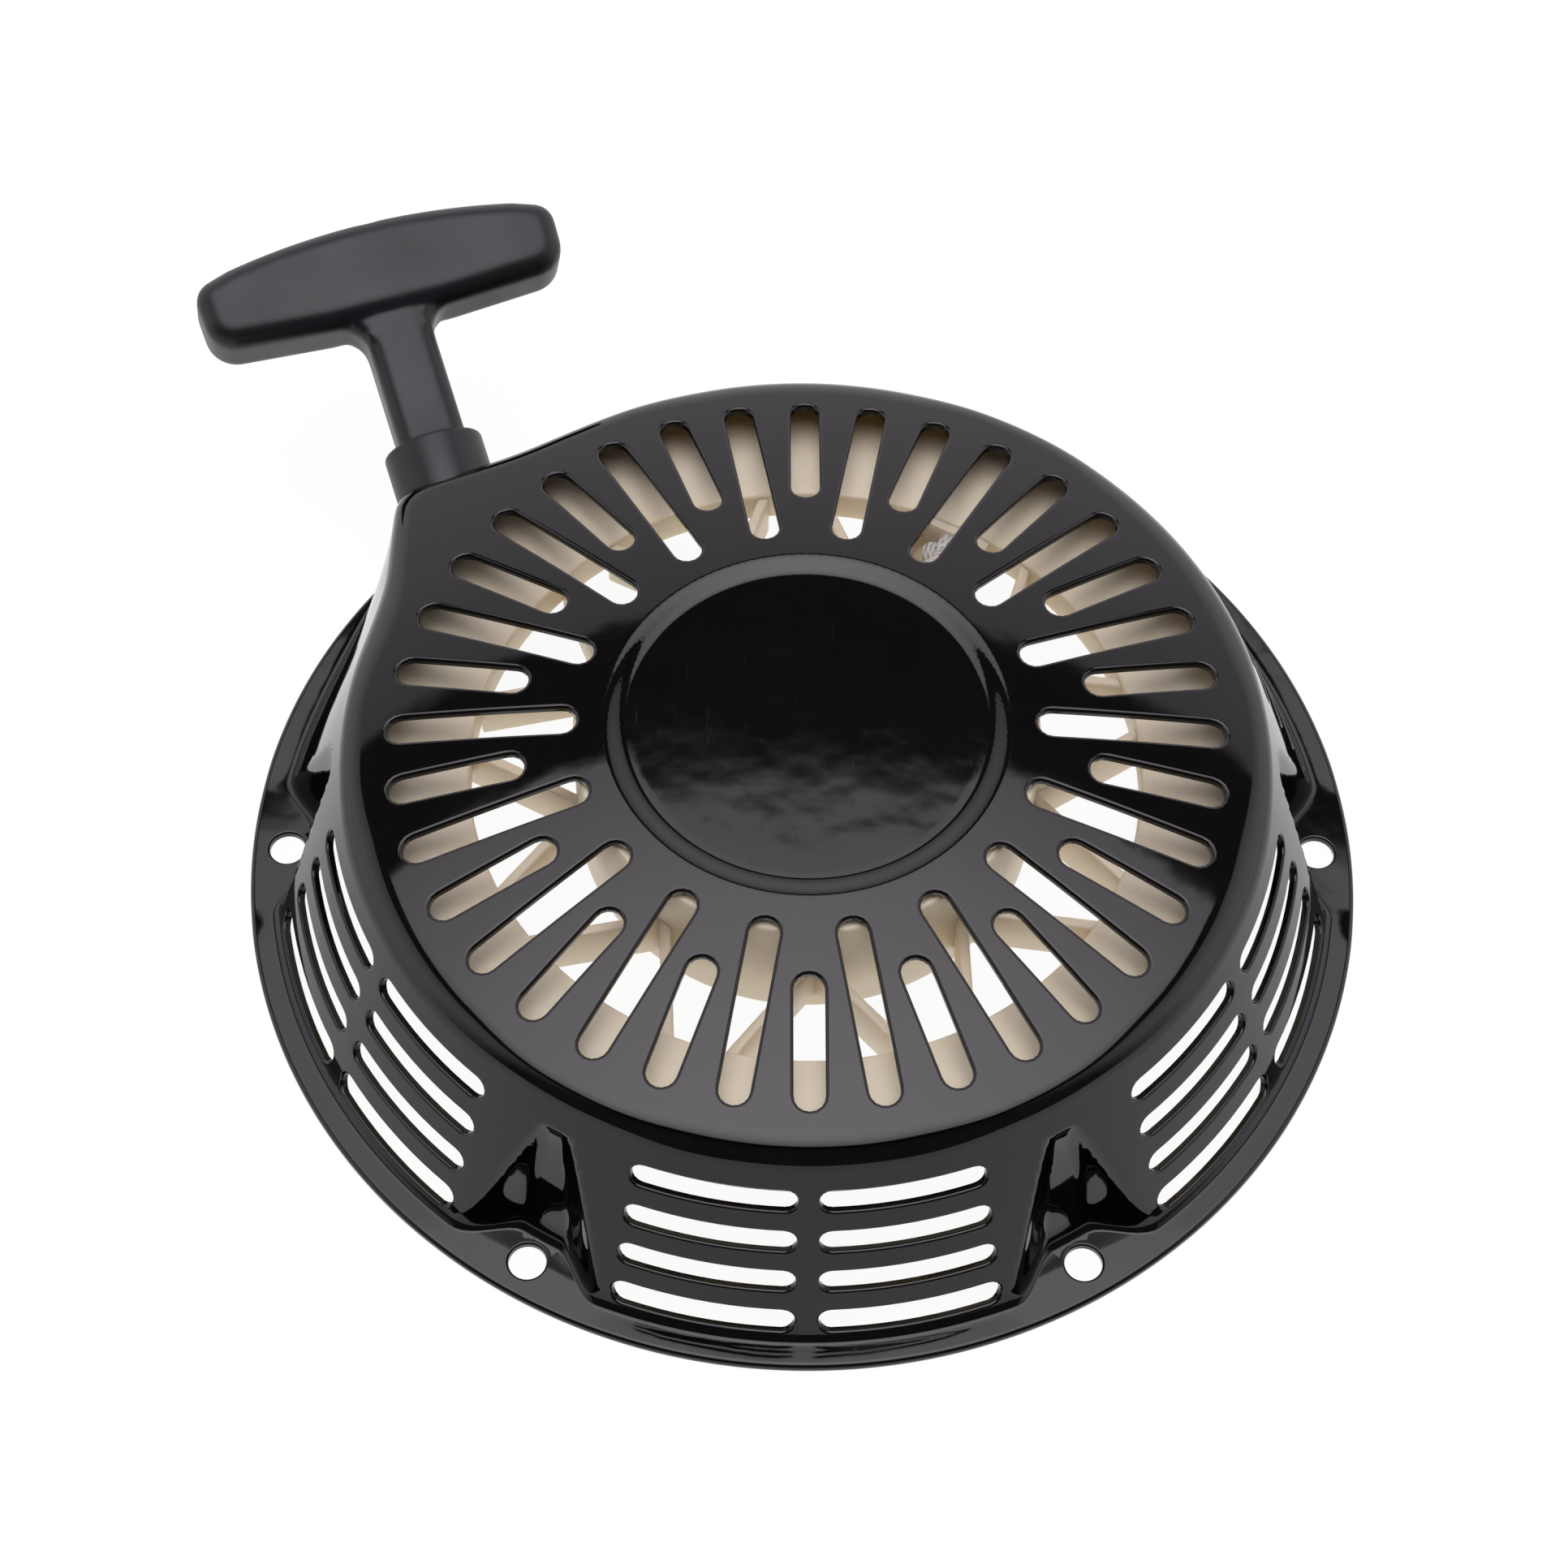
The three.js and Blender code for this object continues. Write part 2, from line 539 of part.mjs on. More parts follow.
function reel() {
  let body = reelHub().add(reelRing()).add(knotPocket());
  for (let i = 0; i < SPOKES.pairs; i++) {
    const middle = SPOKES.first + (i * 360) / SPOKES.pairs;
    for (const side of [-1, 1]) body = body.add(rib(middle, middle + side * SPOKES.spread));
  }
  return body.subtract(reelHoles());
}

// A flat strip wound from the post out to the hub's wall.
function recoilSpring() {
  const steps = SPRING.turns * 14;
  const edge = (offsetR) => Array.from({ length: steps + 1 }, (_, i) => {
    const t = i / steps;
    return polar(SPRING.innerR + (SPRING.outerR - SPRING.innerR) * t + offsetR, 360 * SPRING.turns * t);
  });
  const outline = [...edge(SPRING.strip / 2), ...edge(-SPRING.strip / 2).reverse()];
  return prism(outline, SPRING.low, SPRING.high);
}

// ---------------------------------------------------------------- centre post and ratchet
function centrePost() {
  const neckZ = POST.topZ - POST.headThick;
  const profile = [
    [0, POST.threadTop], [POST.threadR, POST.threadTop], [POST.threadR, POST.lowZ], [POST.r, POST.lowZ],
    [POST.r, POST.shoulderZ], [POST.filletR, POST.shoulderZ], [POST.filletR, neckZ - 1],
    [POST.headR, neckZ], [POST.headR, POST.topZ], [0, POST.topZ],
  ];
  const points = profile.map(([r, z]) => new THREE.Vector2(r, z));
  return new THREE.LatheGeometry(points, 32).rotateX(Math.PI / 2);
}

function centreScrew() {
  const hexagon = Array.from({ length: 6 }, (_, i) => polar(SCREW.hexR, 60 * i));
  const head = solid(prism(hexagon, SCREW.low, SCREW.hexHigh));
  const flange = solid(cylinder(SCREW.flangeR, SCREW.flangeLow, SCREW.flangeHigh, 24));
  return head.add(flange).add(solid(cylinder(SCREW.shankR, SCREW.hexHigh, SCREW.high, 14)));
}

function thrustWasher() {
  const { innerR, outerR, low, high } = WASHER;
  return turned([[innerR, low], [outerR, low], [outerR, high], [innerR, high]], 32);
}

// An open wire ring that grips the post, with one leg that holds the ratchet plate back.
function frictionSpring() {
  const steps = 20;
  const points = [];
  for (let i = 0; i <= steps; i++) points.push([...polar(CLIP.ringR, (CLIP.sweep * i) / steps), CLIP.z]);
  for (const [r, deg] of CLIP.leg) points.push([...polar(r, deg), CLIP.z]);
  return wire(points, CLIP.wireR, 28, 5);
}

// Where the pawl's peg is, in the reel's frame, once the ratchet plate lags by the given share.
function pegAt(share) {
  const swing = LAG.pawlDeg * share;
  const [dx, dy] = polar(PEG.reach, -90 + PAWL.lead + swing);
  return [PAWL.pivotR + dx, dy];
}

// The cam slot that the peg follows in the ratchet plate, as an outline of constant width.
function camSlot() {
  const half = PEG.r + 0.4;
  const path = [];
  for (let i = 0; i <= 6; i++) {
    const [x, y] = pegAt(i / 6);
    const back = -LAG.guideDeg * (i / 6) * RAD;
    path.push([x * Math.cos(back) - y * Math.sin(back), x * Math.sin(back) + y * Math.cos(back)]);
  }
  const cap = (centre, from) => [0, 45, 90, 135, 180].map((d) => {
    const [x, y] = polar(half, from + d);
    return [centre[0] + x, centre[1] + y];
  });
  const heading = (i) => {
    const a = path[Math.max(0, i - 1)];
    const b = path[Math.min(path.length - 1, i + 1)];
    return Math.atan2(b[1] - a[1], b[0] - a[0]) / RAD;
  };
  const side = (turn) => path.slice(1, -1).map(([x, y], i) => {
    const [dx, dy] = polar(half, heading(i + 1) + turn);
    return [x + dx, y + dy];
  });
  const last = path.length - 1;
  const ends = [cap(path[0], heading(0) + 90), cap(path[last], heading(last) - 90)];
  return [...ends[0], ...side(-90), ...ends[1], ...side(90).reverse()];
}

function ratchetPlate() {
  let body = solid(turned([
    [RATCHET_PLATE.holeR, RATCHET_PLATE.low], [RATCHET_PLATE.r, RATCHET_PLATE.low],
    [RATCHET_PLATE.r, RATCHET_PLATE.high], [RATCHET_PLATE.holeR, RATCHET_PLATE.high],
  ], 40));
  for (const turn of [0, Math.PI]) {
    const cutter = prism(camSlot(), RATCHET_PLATE.low - 1, RATCHET_PLATE.high + 1).rotateZ(turn);
    body = body.subtract(solid(cutter));
  }
  return body;
}

// The pawl's edge, as distances [along it from its pivot, to its side].
const PAWL_EDGE = [
  [0, 4.4], [8, 4.0], [16, 3.4], [20.4, 2.6], [20.8, -0.8],
  [16, -2.6], [8, -3.6], [0, -4.4], [-4.2, -1.8], [-4.2, 1.8],
];

// A pawl swings about its pin and pushes its hooked tip out to catch the engine's cup.
function pawl(turn) {
  const lever = prism(PAWL_EDGE, PAWL.low, PAWL.high).rotateZ((-90 + PAWL.lead) * RAD);
  const [px, py] = pegAt(0);
  const peg = solid(cylinder(PEG.r, PEG.low, PAWL.low + 0.5, 12).translate(px, py, 0));
  const pinHole = cylinder(PIN.r + 0.25, PAWL.low - 1, PAWL.high + 1, 14).translate(PAWL.pivotR, 0, 0);
  const body = solid(lever.translate(PAWL.pivotR, 0, 0)).add(peg).subtract(solid(pinHole));
  return geometryOf(body).rotateZ(turn);
}

function pawlPin(turn) {
  const shank = solid(cylinder(PIN.r, PIN.low, PIN.high, 14));
  const head = solid(cylinder(PIN.headR, PIN.low, PIN.headHigh, 16));
  return geometryOf(shank.add(head)).translate(PAWL.pivotR, 0, 0).rotateZ(turn);
}

// A light wire spring around the pin that pulls the pawl in: one leg, the coil, the other leg.
function pawlSpring(turn) {
  const { wireR, coilR, low, rise, sweep, start } = PAWL_SPRING;
  const coilSteps = 14;
  const points = [[-9.5, 4.2, low], [-5, 3.4, low]];
  for (let i = 0; i <= coilSteps; i++) {
    const t = i / coilSteps;
    points.push([...polar(coilR, start - sweep * t), low + rise * t]);
  }
  points.push([3.4, -9, low + rise], [2.2, -13, low + rise]);
  return wire(points, wireR, 38, 5).translate(PAWL.pivotR, 0, 0).rotateZ(turn);
}

// ---------------------------------------------------------------- the whole starter
const starter = new THREE.Group();
starter.add(part('housing', housing(), paint));
starter.add(part('rope_guide', ropeGuide(), blackPlastic));
starter.add(part('handle_grip', handleGrip(), blackPlastic));
starter.add(part('rope_stopper', ropeStopper(), steel));
starter.add(part('handle_knot', handleKnot(), ropeFibre));
starter.add(part('rope_lead', ropeLead(), ropeFibre));
starter.add(part('rope_coil', ropeCoil(), ropeFibre));
starter.add(part('reel_knot', reelKnot(), ropeFibre));
starter.add(part('reel', reel(), nylon));
starter.add(part('recoil_spring', recoilSpring(), springSteel));
starter.add(part('centre_post', centrePost(), steel));
starter.add(part('ratchet_plate', ratchetPlate(), steel));
starter.add(part('friction_spring', frictionSpring(), springSteel));
starter.add(part('thrust_washer', thrustWasher(), steel));
starter.add(part('centre_screw', centreScrew(), steel));
[0, Math.PI].forEach((turn, i) => {
  starter.add(part(`pawl_${i + 1}`, pawl(turn), steel));
  starter.add(part(`pawl_pin_${i + 1}`, pawlPin(turn), steel));
  starter.add(part(`pawl_spring_${i + 1}`, pawlSpring(turn), springSteel));
});

export default starter;
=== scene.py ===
"""Looks of the recoil starter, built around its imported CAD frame.

Lengths below are in millimetres in the frame's axes, and angles in degrees, unless a name says otherwise.
"""
import math

import bmesh
import bpy
import numpy as np
from mathutils import Matrix, Vector
from mathutils.geometry import delaunay_2d_cdt


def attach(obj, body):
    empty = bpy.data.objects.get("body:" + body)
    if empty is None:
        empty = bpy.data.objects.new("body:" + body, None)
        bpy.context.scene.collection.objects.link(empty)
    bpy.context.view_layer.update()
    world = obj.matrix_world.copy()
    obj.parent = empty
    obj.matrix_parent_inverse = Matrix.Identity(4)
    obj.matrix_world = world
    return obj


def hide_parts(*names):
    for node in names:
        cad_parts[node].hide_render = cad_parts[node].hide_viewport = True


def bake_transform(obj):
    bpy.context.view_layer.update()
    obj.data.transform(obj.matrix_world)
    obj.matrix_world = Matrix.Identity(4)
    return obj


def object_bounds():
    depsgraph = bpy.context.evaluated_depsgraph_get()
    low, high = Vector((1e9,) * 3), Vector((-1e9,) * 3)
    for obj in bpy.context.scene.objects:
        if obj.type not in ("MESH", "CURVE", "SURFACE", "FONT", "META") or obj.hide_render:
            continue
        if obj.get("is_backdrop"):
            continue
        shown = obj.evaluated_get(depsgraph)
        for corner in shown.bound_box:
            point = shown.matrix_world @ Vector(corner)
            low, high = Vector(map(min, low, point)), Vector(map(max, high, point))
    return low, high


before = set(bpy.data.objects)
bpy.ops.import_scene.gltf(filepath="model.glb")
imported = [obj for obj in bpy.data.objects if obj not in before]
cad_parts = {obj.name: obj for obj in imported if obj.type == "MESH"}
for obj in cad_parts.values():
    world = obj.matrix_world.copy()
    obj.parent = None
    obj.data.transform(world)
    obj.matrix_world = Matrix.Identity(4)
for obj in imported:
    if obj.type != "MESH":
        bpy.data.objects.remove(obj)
CAD_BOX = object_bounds()
MM = 0.001

# ---- pressed steel cover, as in the CAD part
SHEET = 1.5
FLANGE_R = 112.5
BOLT_CIRCLE_R = 105.3
BOLT_HOLE_R = 3.6
BOLTS = 6
BOLT_SPACING = 360.0 / BOLTS
CROWN_TOP = 51.4
CROWN_CURVE = 0.000952
DISH_FLOOR_R, DISH_EDGE_R, DISH_DEPTH, DISH_SAG = 34.8, 39.6, 1.4, 0.12
SHOULDER_R = 89.35
RUN_BOLT, RUN_PANEL, RUN_BULGE_SHARE = 3.4, 4.6, 0.35     # tangent length of the rounded shoulder
RUN_FROM, RUN_OVER, RUN_BULGE_OVER = 5, 12, 3             # where it changes: degrees off a bolt, mm of bulge
WALL_TOP_R, WALL_TOP_Z, WALL_SLOPE = 93.7, 33.1, 0.4165
FOOT_Z, FOOT_RUN, FOOT_RIM = 4.5, 2.6, 1.1
FLANGE_SPRING = 0.05           # rise of the flange per millimetre outwards, between the bolts
SPRING_FROM, SPRING_OVER = 7, 5        # where that rise sets in, in degrees from the nearest bolt
POCKET_APEX_Z, POCKET_DEPTH, POCKET_LOW_Z = 35.6, 7.5, 2.7
POCKET_WIDE, POCKET_NARROW, POCKET_FLAT = 8.8, 2.4, 0.25
POCKET_NARROWING, POCKET_DEEPENING = 1.3, 0.7   # exponents of the pocket's width and depth on its way up
# the bulge is the corner of two upright faces, each given by where it faces and its distance
OUTLET_FACES, OUTLET_FACE, SIDE_FACES, SIDE_FACE = 109.2, 85.5, 180, 82.9
BULGE_ROUND, BULGE_JOIN, BULGE_FOOT, BULGE_WIDEST = 5.6, 4.0, 0.3, 80
SLOTS, SLOT_WIDTH, SLOT_OUTER_R, SLOT_SHORT_R, SLOT_LONG_R = 36, 5.8, 81.2, 54.9, 44.4
LOUVRE_ROWS, LOUVRE_TOP_Z, LOUVRE_PITCH_Z, LOUVRE_HEIGHT = 4, 33.1, 9.1, 4.9
LOUVRE_INNER, LOUVRE_OUTER = 1.2, 20.3
LOUVRE_PANELS = (30, 90, 210, 270, 330)
# rounding of the painted edges
SLOT_LIP, LOUVRE_LIP, BOLT_LIP, RIM_LIP = 0.75, 0.6, 0.5, 1.0
HOLE_CLEAR, RIM_CLEAR, OUTLET_CLEAR = 0.45, 0.3, 0.8   # width of the plain strip beside each of them

# ---- rope outlet and handle
OUTLET_AT, OUTLET_AZIMUTH, OUTLET_TILT, OUTLET_ROLL = (-74, 67.2, 32.5), 109.2, 20, -1
GUIDE_R, GUIDE_LENGTH, GUIDE_HOLE_R, GUIDE_BORE_R = 10.4, 10.7, 8.0, 2.9
GUIDE_SOCKET_R, GUIDE_SOCKET_FROM = 8.5, 6.5
GRIP_LENGTH, GRIP_THICK = 77.5, 16.4
GRIP_NEAR, GRIP_FAR, GRIP_END_NEAR, GRIP_END_FAR = 38.7, 60.2, 40.4, 55.4
STEM_START, STEM_HALF, STEM_THICK, STEM_FILLET = 7.0, 7.1, 13.2, 6.0
GRIP_ROUND = 4.3

# ---- rope, reel and spring
ROPE_R, ROPE_Z = 2.25, 31.4
ROPE_LEAVES_R, ROPE_LEAVES_AZIMUTH = 86.6, 165
COIL_TURNS, COIL_OUTER_R = 3.72, 81.8
REEL_R, DRUM_R, RING_R, REEL_LOW, REEL_HIGH, GROOVE = 89.2, 67.4, 65.7, 27.7, 35.1, 5.0
HUB_R, HUB_WALL, HUB_LOW, HUB_FLOOR, HUB_HIGH = 45.2, 2.6, 17.7, 20.5, 46.5
HUB_BORE_R, BOSS_R, BOSS_LOW = 7.3, 12, 12
SPOKE_PAIRS, SPOKE_FIRST, SPOKE_SPREAD = 9, 72, 15
SPOKE_THICK, SPOKE_LOW, SPOKE_HIGH = 2.2, 23, 34
KNOT_AZIMUTH, KNOT_R, KNOT_SIZE, KNOT_WALL, KNOT_LOW = 62, 57.5, 13, 1.8, 26.5
SPRING_TURNS, SPRING_THICK, SPRING_INNER_R, SPRING_OUTER_R = 13, 0.55, 12.5, 41
SPRING_LOW, SPRING_HIGH = 23.5, 43

# ---- ratchet under the reel
PAWL_PIVOT_R, PAWL_LEAD, PAWL_LOW, PAWL_HIGH = 21, -12.2, 12.4, 15.2
PAWL_EDGE = ((0, 4.4), (8, 4.0), (16, 3.4), (20.4, 2.6), (20.8, -0.8),
             (16, -2.6), (8, -3.6), (0, -4.4), (-4.2, -1.8), (-4.2, 1.8))
PEG_REACH, PEG_R, PEG_LOW = 10, 1.5, 8.2
LAG_PLATE, LAG_PAWL = 30, 25
PLATE_R, PLATE_LOW, PLATE_HIGH, PLATE_HOLE_R = 29.5, 8.6, 10.9, 7.5
CLIP_R, CLIP_Z, CLIP_WIRE_R = 8.7, 7.45, 0.72
RETURN_R, RETURN_LOW, RETURN_RISE, RETURN_WIRE_R = 3.1, 15.85, 1.2, 0.33


# ------------------------------------------------------------------ material helpers
def set_range(node, low, high, to_low, to_high):
    """Sets a Map Range node and returns its output."""
    for key, number in (("From Min", low), ("From Max", high), ("To Min", to_low), ("To Max", to_high)):
        node.inputs[key].default_value = number
    return node.outputs["Result"]


class Nodes:
    """A small front end to one node tree, so that a material reads as a list of steps."""

    def __init__(self, name):
        self.material = bpy.data.materials.new(name)
        self.material.use_nodes = True
        self.tree = self.material.node_tree
        self.shader = self.tree.nodes["Principled BSDF"]
        self.place = self.add("ShaderNodeTexCoord").outputs["Object"]

    def add(self, kind, **settings):
        node = self.tree.nodes.new(kind)
        for key, value in settings.items():
            setattr(node, key, value)
        return node

    def link(self, output, socket):
        self.tree.links.new(output, socket)

    def set(self, **values):
        for key, value in values.items():
            self.shader.inputs[key.replace("_", " ")].default_value = value

    def noise(self, size_mm, detail=3.0, roughness=0.55, distortion=0.0, where=None):
        node = self.add("ShaderNodeTexNoise")
        self.link(where or self.place, node.inputs["Vector"])
        node.inputs["Scale"].default_value = 1000.0 / size_mm
        node.inputs["Detail"].default_value = detail
        node.inputs["Roughness"].default_value = roughness
        node.inputs["Distortion"].default_value = distortion
        return node.outputs["Fac"]

    def stretched(self, x, y, z):
        node = self.add("ShaderNodeMapping")
        self.link(self.place, node.inputs["Vector"])
        node.inputs["Scale"].default_value = (x, y, z)
        return node.outputs["Vector"]

    def spread(self, value, low, high, to_low=0.0, to_high=1.0):
        node = self.add("ShaderNodeMapRange")
        self.link(value, node.inputs["Value"])
        return set_range(node, low, high, to_low, to_high)

    def mix(self, share, a, b, blend="MIX"):
        node = self.add("ShaderNodeMix", data_type="RGBA", blend_type=blend)
        if isinstance(share, float):
            node.inputs[0].default_value = share
        else:
            self.link(share, node.inputs[0])
        for socket, colour in ((node.inputs[6], a), (node.inputs[7], b)):
            if isinstance(colour, tuple):
                socket.default_value = (*colour, 1.0)
            else:
                self.link(colour, socket)
        return node.outputs[2]

    def math(self, operation, a, b):
        node = self.add("ShaderNodeMath", operation=operation)
        for socket, value in ((node.inputs[0], a), (node.inputs[1], b)):
            if isinstance(value, (int, float)):
                socket.default_value = value
            else:
                self.link(value, socket)
        return node.outputs[0]

    def wear(self, low=0.54, high=0.62):
        """1 on sharp convex edges, 0 elsewhere."""
        return self.spread(self.add("ShaderNodeNewGeometry").outputs["Pointiness"], low, high)

    def bump(self, height, depth_mm, strength=1.0, after=None):
        node = self.add("ShaderNodeBump")
        node.inputs["Strength"].default_value = strength
        node.inputs["Distance"].default_value = depth_mm * MM
        self.link(height, node.inputs["Height"])
        if after is not None:
            self.link(after, node.inputs["Normal"])
        return node.outputs["Normal"]

    def finish(self, colour, roughness, normal):
        self.link(colour, self.shader.inputs["Base Color"])
        self.link(roughness, self.shader.inputs["Roughness"])
        self.link(normal, self.shader.inputs["Normal"])
        return self.material


def gloss_black_paint():
    """Stoved black enamel: deep gloss, slow waves in the sheet, a little dust and fine scratching."""
    n = Nodes("gloss_black_paint")
    n.set(IOR=1.5, Specular_IOR_Level=0.38)
    dust = n.spread(n.noise(9.0, 6.0, 0.7), 0.52, 0.8)
    tone = n.mix(n.noise(60.0, 2.0), (0.0011, 0.0009, 0.0009), (0.0019, 0.0016, 0.0016))
    colour = n.mix(n.math("MULTIPLY", dust, 0.3), tone, (0.0050, 0.0048, 0.0048))
    colour = n.mix(n.math("MULTIPLY", n.wear(0.56, 0.70), 0.25), colour, (0.02, 0.019, 0.019))
    scratches = n.spread(n.noise(1.4, 2.0, 0.5, 1.5, n.stretched(1.0, 0.12, 1.0)), 0.66, 0.78)
    roughness = n.math("ADD", n.spread(n.noise(14.0, 4.0), 0.3, 0.7, 0.02, 0.055),
                       n.math("MULTIPLY", scratches, 0.05))
    waves = n.bump(n.noise(24.0, 2.5, 0.5), 0.10, 1.0)
    peel = n.bump(n.noise(2.6, 1.0, 0.4), 0.0022, 1.0, waves)
    return n.finish(colour, roughness, peel)


def moulded_black_plastic():
    """Satin black plastic with a fine spark-eroded grain and slightly polished edges."""
    n = Nodes("moulded_black_plastic")
    n.set(IOR=1.5, Specular_IOR_Level=0.32)
    tone = n.mix(n.noise(12.0, 4.0), (0.0042, 0.0047, 0.0064), (0.0062, 0.0069, 0.0088))
    rubbed = n.math("MULTIPLY", n.wear(0.53, 0.66), 0.5)
    colour = n.mix(rubbed, tone, (0.014, 0.015, 0.017))
    handled = n.spread(n.noise(20.0, 3.0), 0.35, 0.65, 0.33, 0.42)
    roughness = n.math("SUBTRACT", handled, n.math("MULTIPLY", rubbed, 0.12))
    grain = n.bump(n.noise(0.45, 2.0, 0.6), 0.018, 0.8)
    flow = n.bump(n.noise(9.0, 1.0, 0.4), 0.05, 0.6, grain)
    return n.finish(colour, roughness, flow)


def ivory_nylon():
    """Natural nylon: waxy, a little translucent, yellower where it is thick."""
    n = Nodes("ivory_nylon")
    n.set(IOR=1.52, Subsurface_Weight=0.25, Subsurface_Scale=0.004, Subsurface_Radius=(1.0, 0.7, 0.4))
    tone = n.mix(n.noise(35.0, 3.0), (0.78, 0.655, 0.47), (0.86, 0.76, 0.59))
    flecks = n.spread(n.noise(1.6, 3.0, 0.7), 0.62, 0.8)
    colour = n.mix(n.math("MULTIPLY", flecks, 0.25), tone, (0.62, 0.50, 0.34))
    roughness = n.spread(n.noise(8.0, 3.0), 0.3, 0.7, 0.34, 0.50)
    flow = n.bump(n.noise(7.0, 2.0, 0.5), 0.05, 0.5)
    return n.finish(colour, roughness, n.bump(n.noise(0.6, 2.0), 0.01, 0.6, flow))


def braided_rope():
    """Sixteen-strand polyester braid. It follows the UV map: across is round the rope, along is in mm."""
    n = Nodes("braided_rope")
    n.set(Sheen_Weight=0.4, Sheen_Roughness=0.4, IOR=1.45, Specular_IOR_Level=0.3)
    uv = n.add("ShaderNodeUVMap", uv_map="along").outputs["UV"]
    parts = n.add("ShaderNodeSeparateXYZ")
    n.link(uv, parts.inputs[0])
    strands_each_way, lay_mm = 8, 3.4
    around = n.math("MULTIPLY", parts.outputs[0], strands_each_way * 2 * math.pi)
    along = n.math("MULTIPLY", parts.outputs[1], 2 * math.pi / lay_mm)
    strands = [n.math("SINE", n.math(op, along, around), 0.0) for op in ("ADD", "SUBTRACT")]
    weave = n.math("MAXIMUM", *strands)
    fibres = n.noise(0.35, 2.0, 0.6)
    # the braid's colour follows the strands' height: the hollows between the strands are painted darker,
    # which is painted shade
    colour = n.mix(n.spread(weave, -0.6, 0.9), (0.58, 0.55, 0.50), (0.88, 0.86, 0.81))
    colour = n.mix(n.math("MULTIPLY", n.noise(14.0, 4.0), 0.4), colour, (0.70, 0.67, 0.61))
    roughness = n.spread(fibres, 0.3, 0.7, 0.75, 0.92)
    return n.finish(colour, roughness, n.bump(fibres, 0.04, 0.6, n.bump(weave, 0.35, 0.9)))


def zinc_plate():
    """Bright zinc on steel: faint spangle, fine rolling lines and dull handling marks."""
    n = Nodes("zinc_plate")
    n.set(Metallic=1.0)
    tone = n.mix(n.noise(5.0, 4.0), (0.50, 0.51, 0.53), (0.66, 0.66, 0.65))
    colour = n.mix(n.spread(n.noise(3.0, 5.0, 0.7), 0.6, 0.85, 0.0, 0.5), tone, (0.34, 0.31, 0.27))
    lines = n.noise(0.8, 3.0, 0.6, 0.0, n.stretched(1.0, 0.06, 1.0))
    roughness = n.spread(lines, 0.3, 0.7, 0.26, 0.46)
    return n.finish(colour, roughness, n.bump(lines, 0.006, 0.6))


def blued_spring_steel():
    """Hardened strip and wire: blue-grey oxide under a film of oil, brighter where it rubs."""
    n = Nodes("blued_spring_steel")
    n.set(Metallic=1.0)
    tone = n.mix(n.noise(8.0, 4.0), (0.115, 0.125, 0.155), (0.22, 0.205, 0.19))
    colour = n.mix(n.math("MULTIPLY", n.wear(), 0.5), tone, (0.45, 0.44, 0.43))
    lines = n.noise(0.9, 3.0, 0.6, 0.0, n.stretched(0.08, 0.08, 1.0))
    roughness = n.spread(lines, 0.3, 0.7, 0.22, 0.40)
    return n.finish(colour, roughness, n.bump(lines, 0.004, 0.5))


PAINT = gloss_black_paint()
PLASTIC = moulded_black_plastic()
NYLON = ivory_nylon()
ROPE = braided_rope()
ZINC = zinc_plate()
SPRING_STEEL = blued_spring_steel()


# ------------------------------------------------------------------ mesh helpers
def polar(r, deg):
    return (r * math.cos(math.radians(deg)), r * math.sin(math.radians(deg)))


def smooth(t):
    t = np.clip(t, 0.0, 1.0)
    return t * t * (3 - 2 * t)


def new_object(name, mesh, material):
    mesh.materials.append(material)
    piece = bpy.data.objects.new(name, mesh)
    bpy.context.scene.collection.objects.link(piece)
    return piece


def shade_smooth(work, crease):
    """Shades every face smoothly, but keeps edges sharper than crease degrees."""
    for face in work.faces:
        face.smooth = True
    for edge in work.edges:
        edge.smooth = len(edge.link_faces) == 2 and edge.calc_face_angle() < math.radians(crease)


def piece_from(name, points, faces, material, place=None, crease=38):
    """A mesh piece from points in millimetres, smooth except at edges sharper than crease degrees."""
    mesh = bpy.data.meshes.new(name)
    mesh.from_pydata([tuple(p) for p in points], [], faces)
    if place is not None:
        mesh.transform(place)
    mesh.transform(Matrix.Scale(MM, 4))
    work = bmesh.new()
    work.from_mesh(mesh)
    bmesh.ops.recalc_face_normals(work, faces=work.faces)
    shade_smooth(work, crease)
    work.to_mesh(mesh)
    work.free()
    return new_object(name, mesh, material)


def with_modifier(piece, kind, **settings):
    """Adds a modifier and applies it, so that the piece's own mesh is the final one."""
    modifier = piece.modifiers.new(kind.lower(), kind)
    for key, value in settings.items():
        setattr(modifier, key, value)
    view = bpy.context.evaluated_depsgraph_get()
    mesh = bpy.data.meshes.new_from_object(piece.evaluated_get(view))
    old = piece.data
    piece.modifiers.clear()
    piece.data = mesh
    bpy.data.meshes.remove(old)
    return piece


def bevelled(piece, width, segments, angle=35):
    with_modifier(piece, "BEVEL", width=width * MM, segments=segments, limit_method="ANGLE",
                  angle_limit=math.radians(angle), harden_normals=False, use_clamp_overlap=True)
    return shaded(piece, 50)


def shaded(piece, crease):
    mesh = piece.data
    work = bmesh.new()
    work.from_mesh(mesh)
    shade_smooth(work, crease)
    work.to_mesh(mesh)
    work.free()
    return piece


def joined(name, pieces):
    """Several pieces of one material made into one."""
    work = bmesh.new()
    for piece in pieces:
        work.from_mesh(piece.data)
    mesh = bpy.data.meshes.new(name)
    work.to_mesh(mesh)
    work.free()
    material = pieces[0].data.materials[0]
    for piece in pieces:
        old = piece.data
        bpy.data.objects.remove(piece)
        bpy.data.meshes.remove(old)
    return new_object(name, mesh, material)


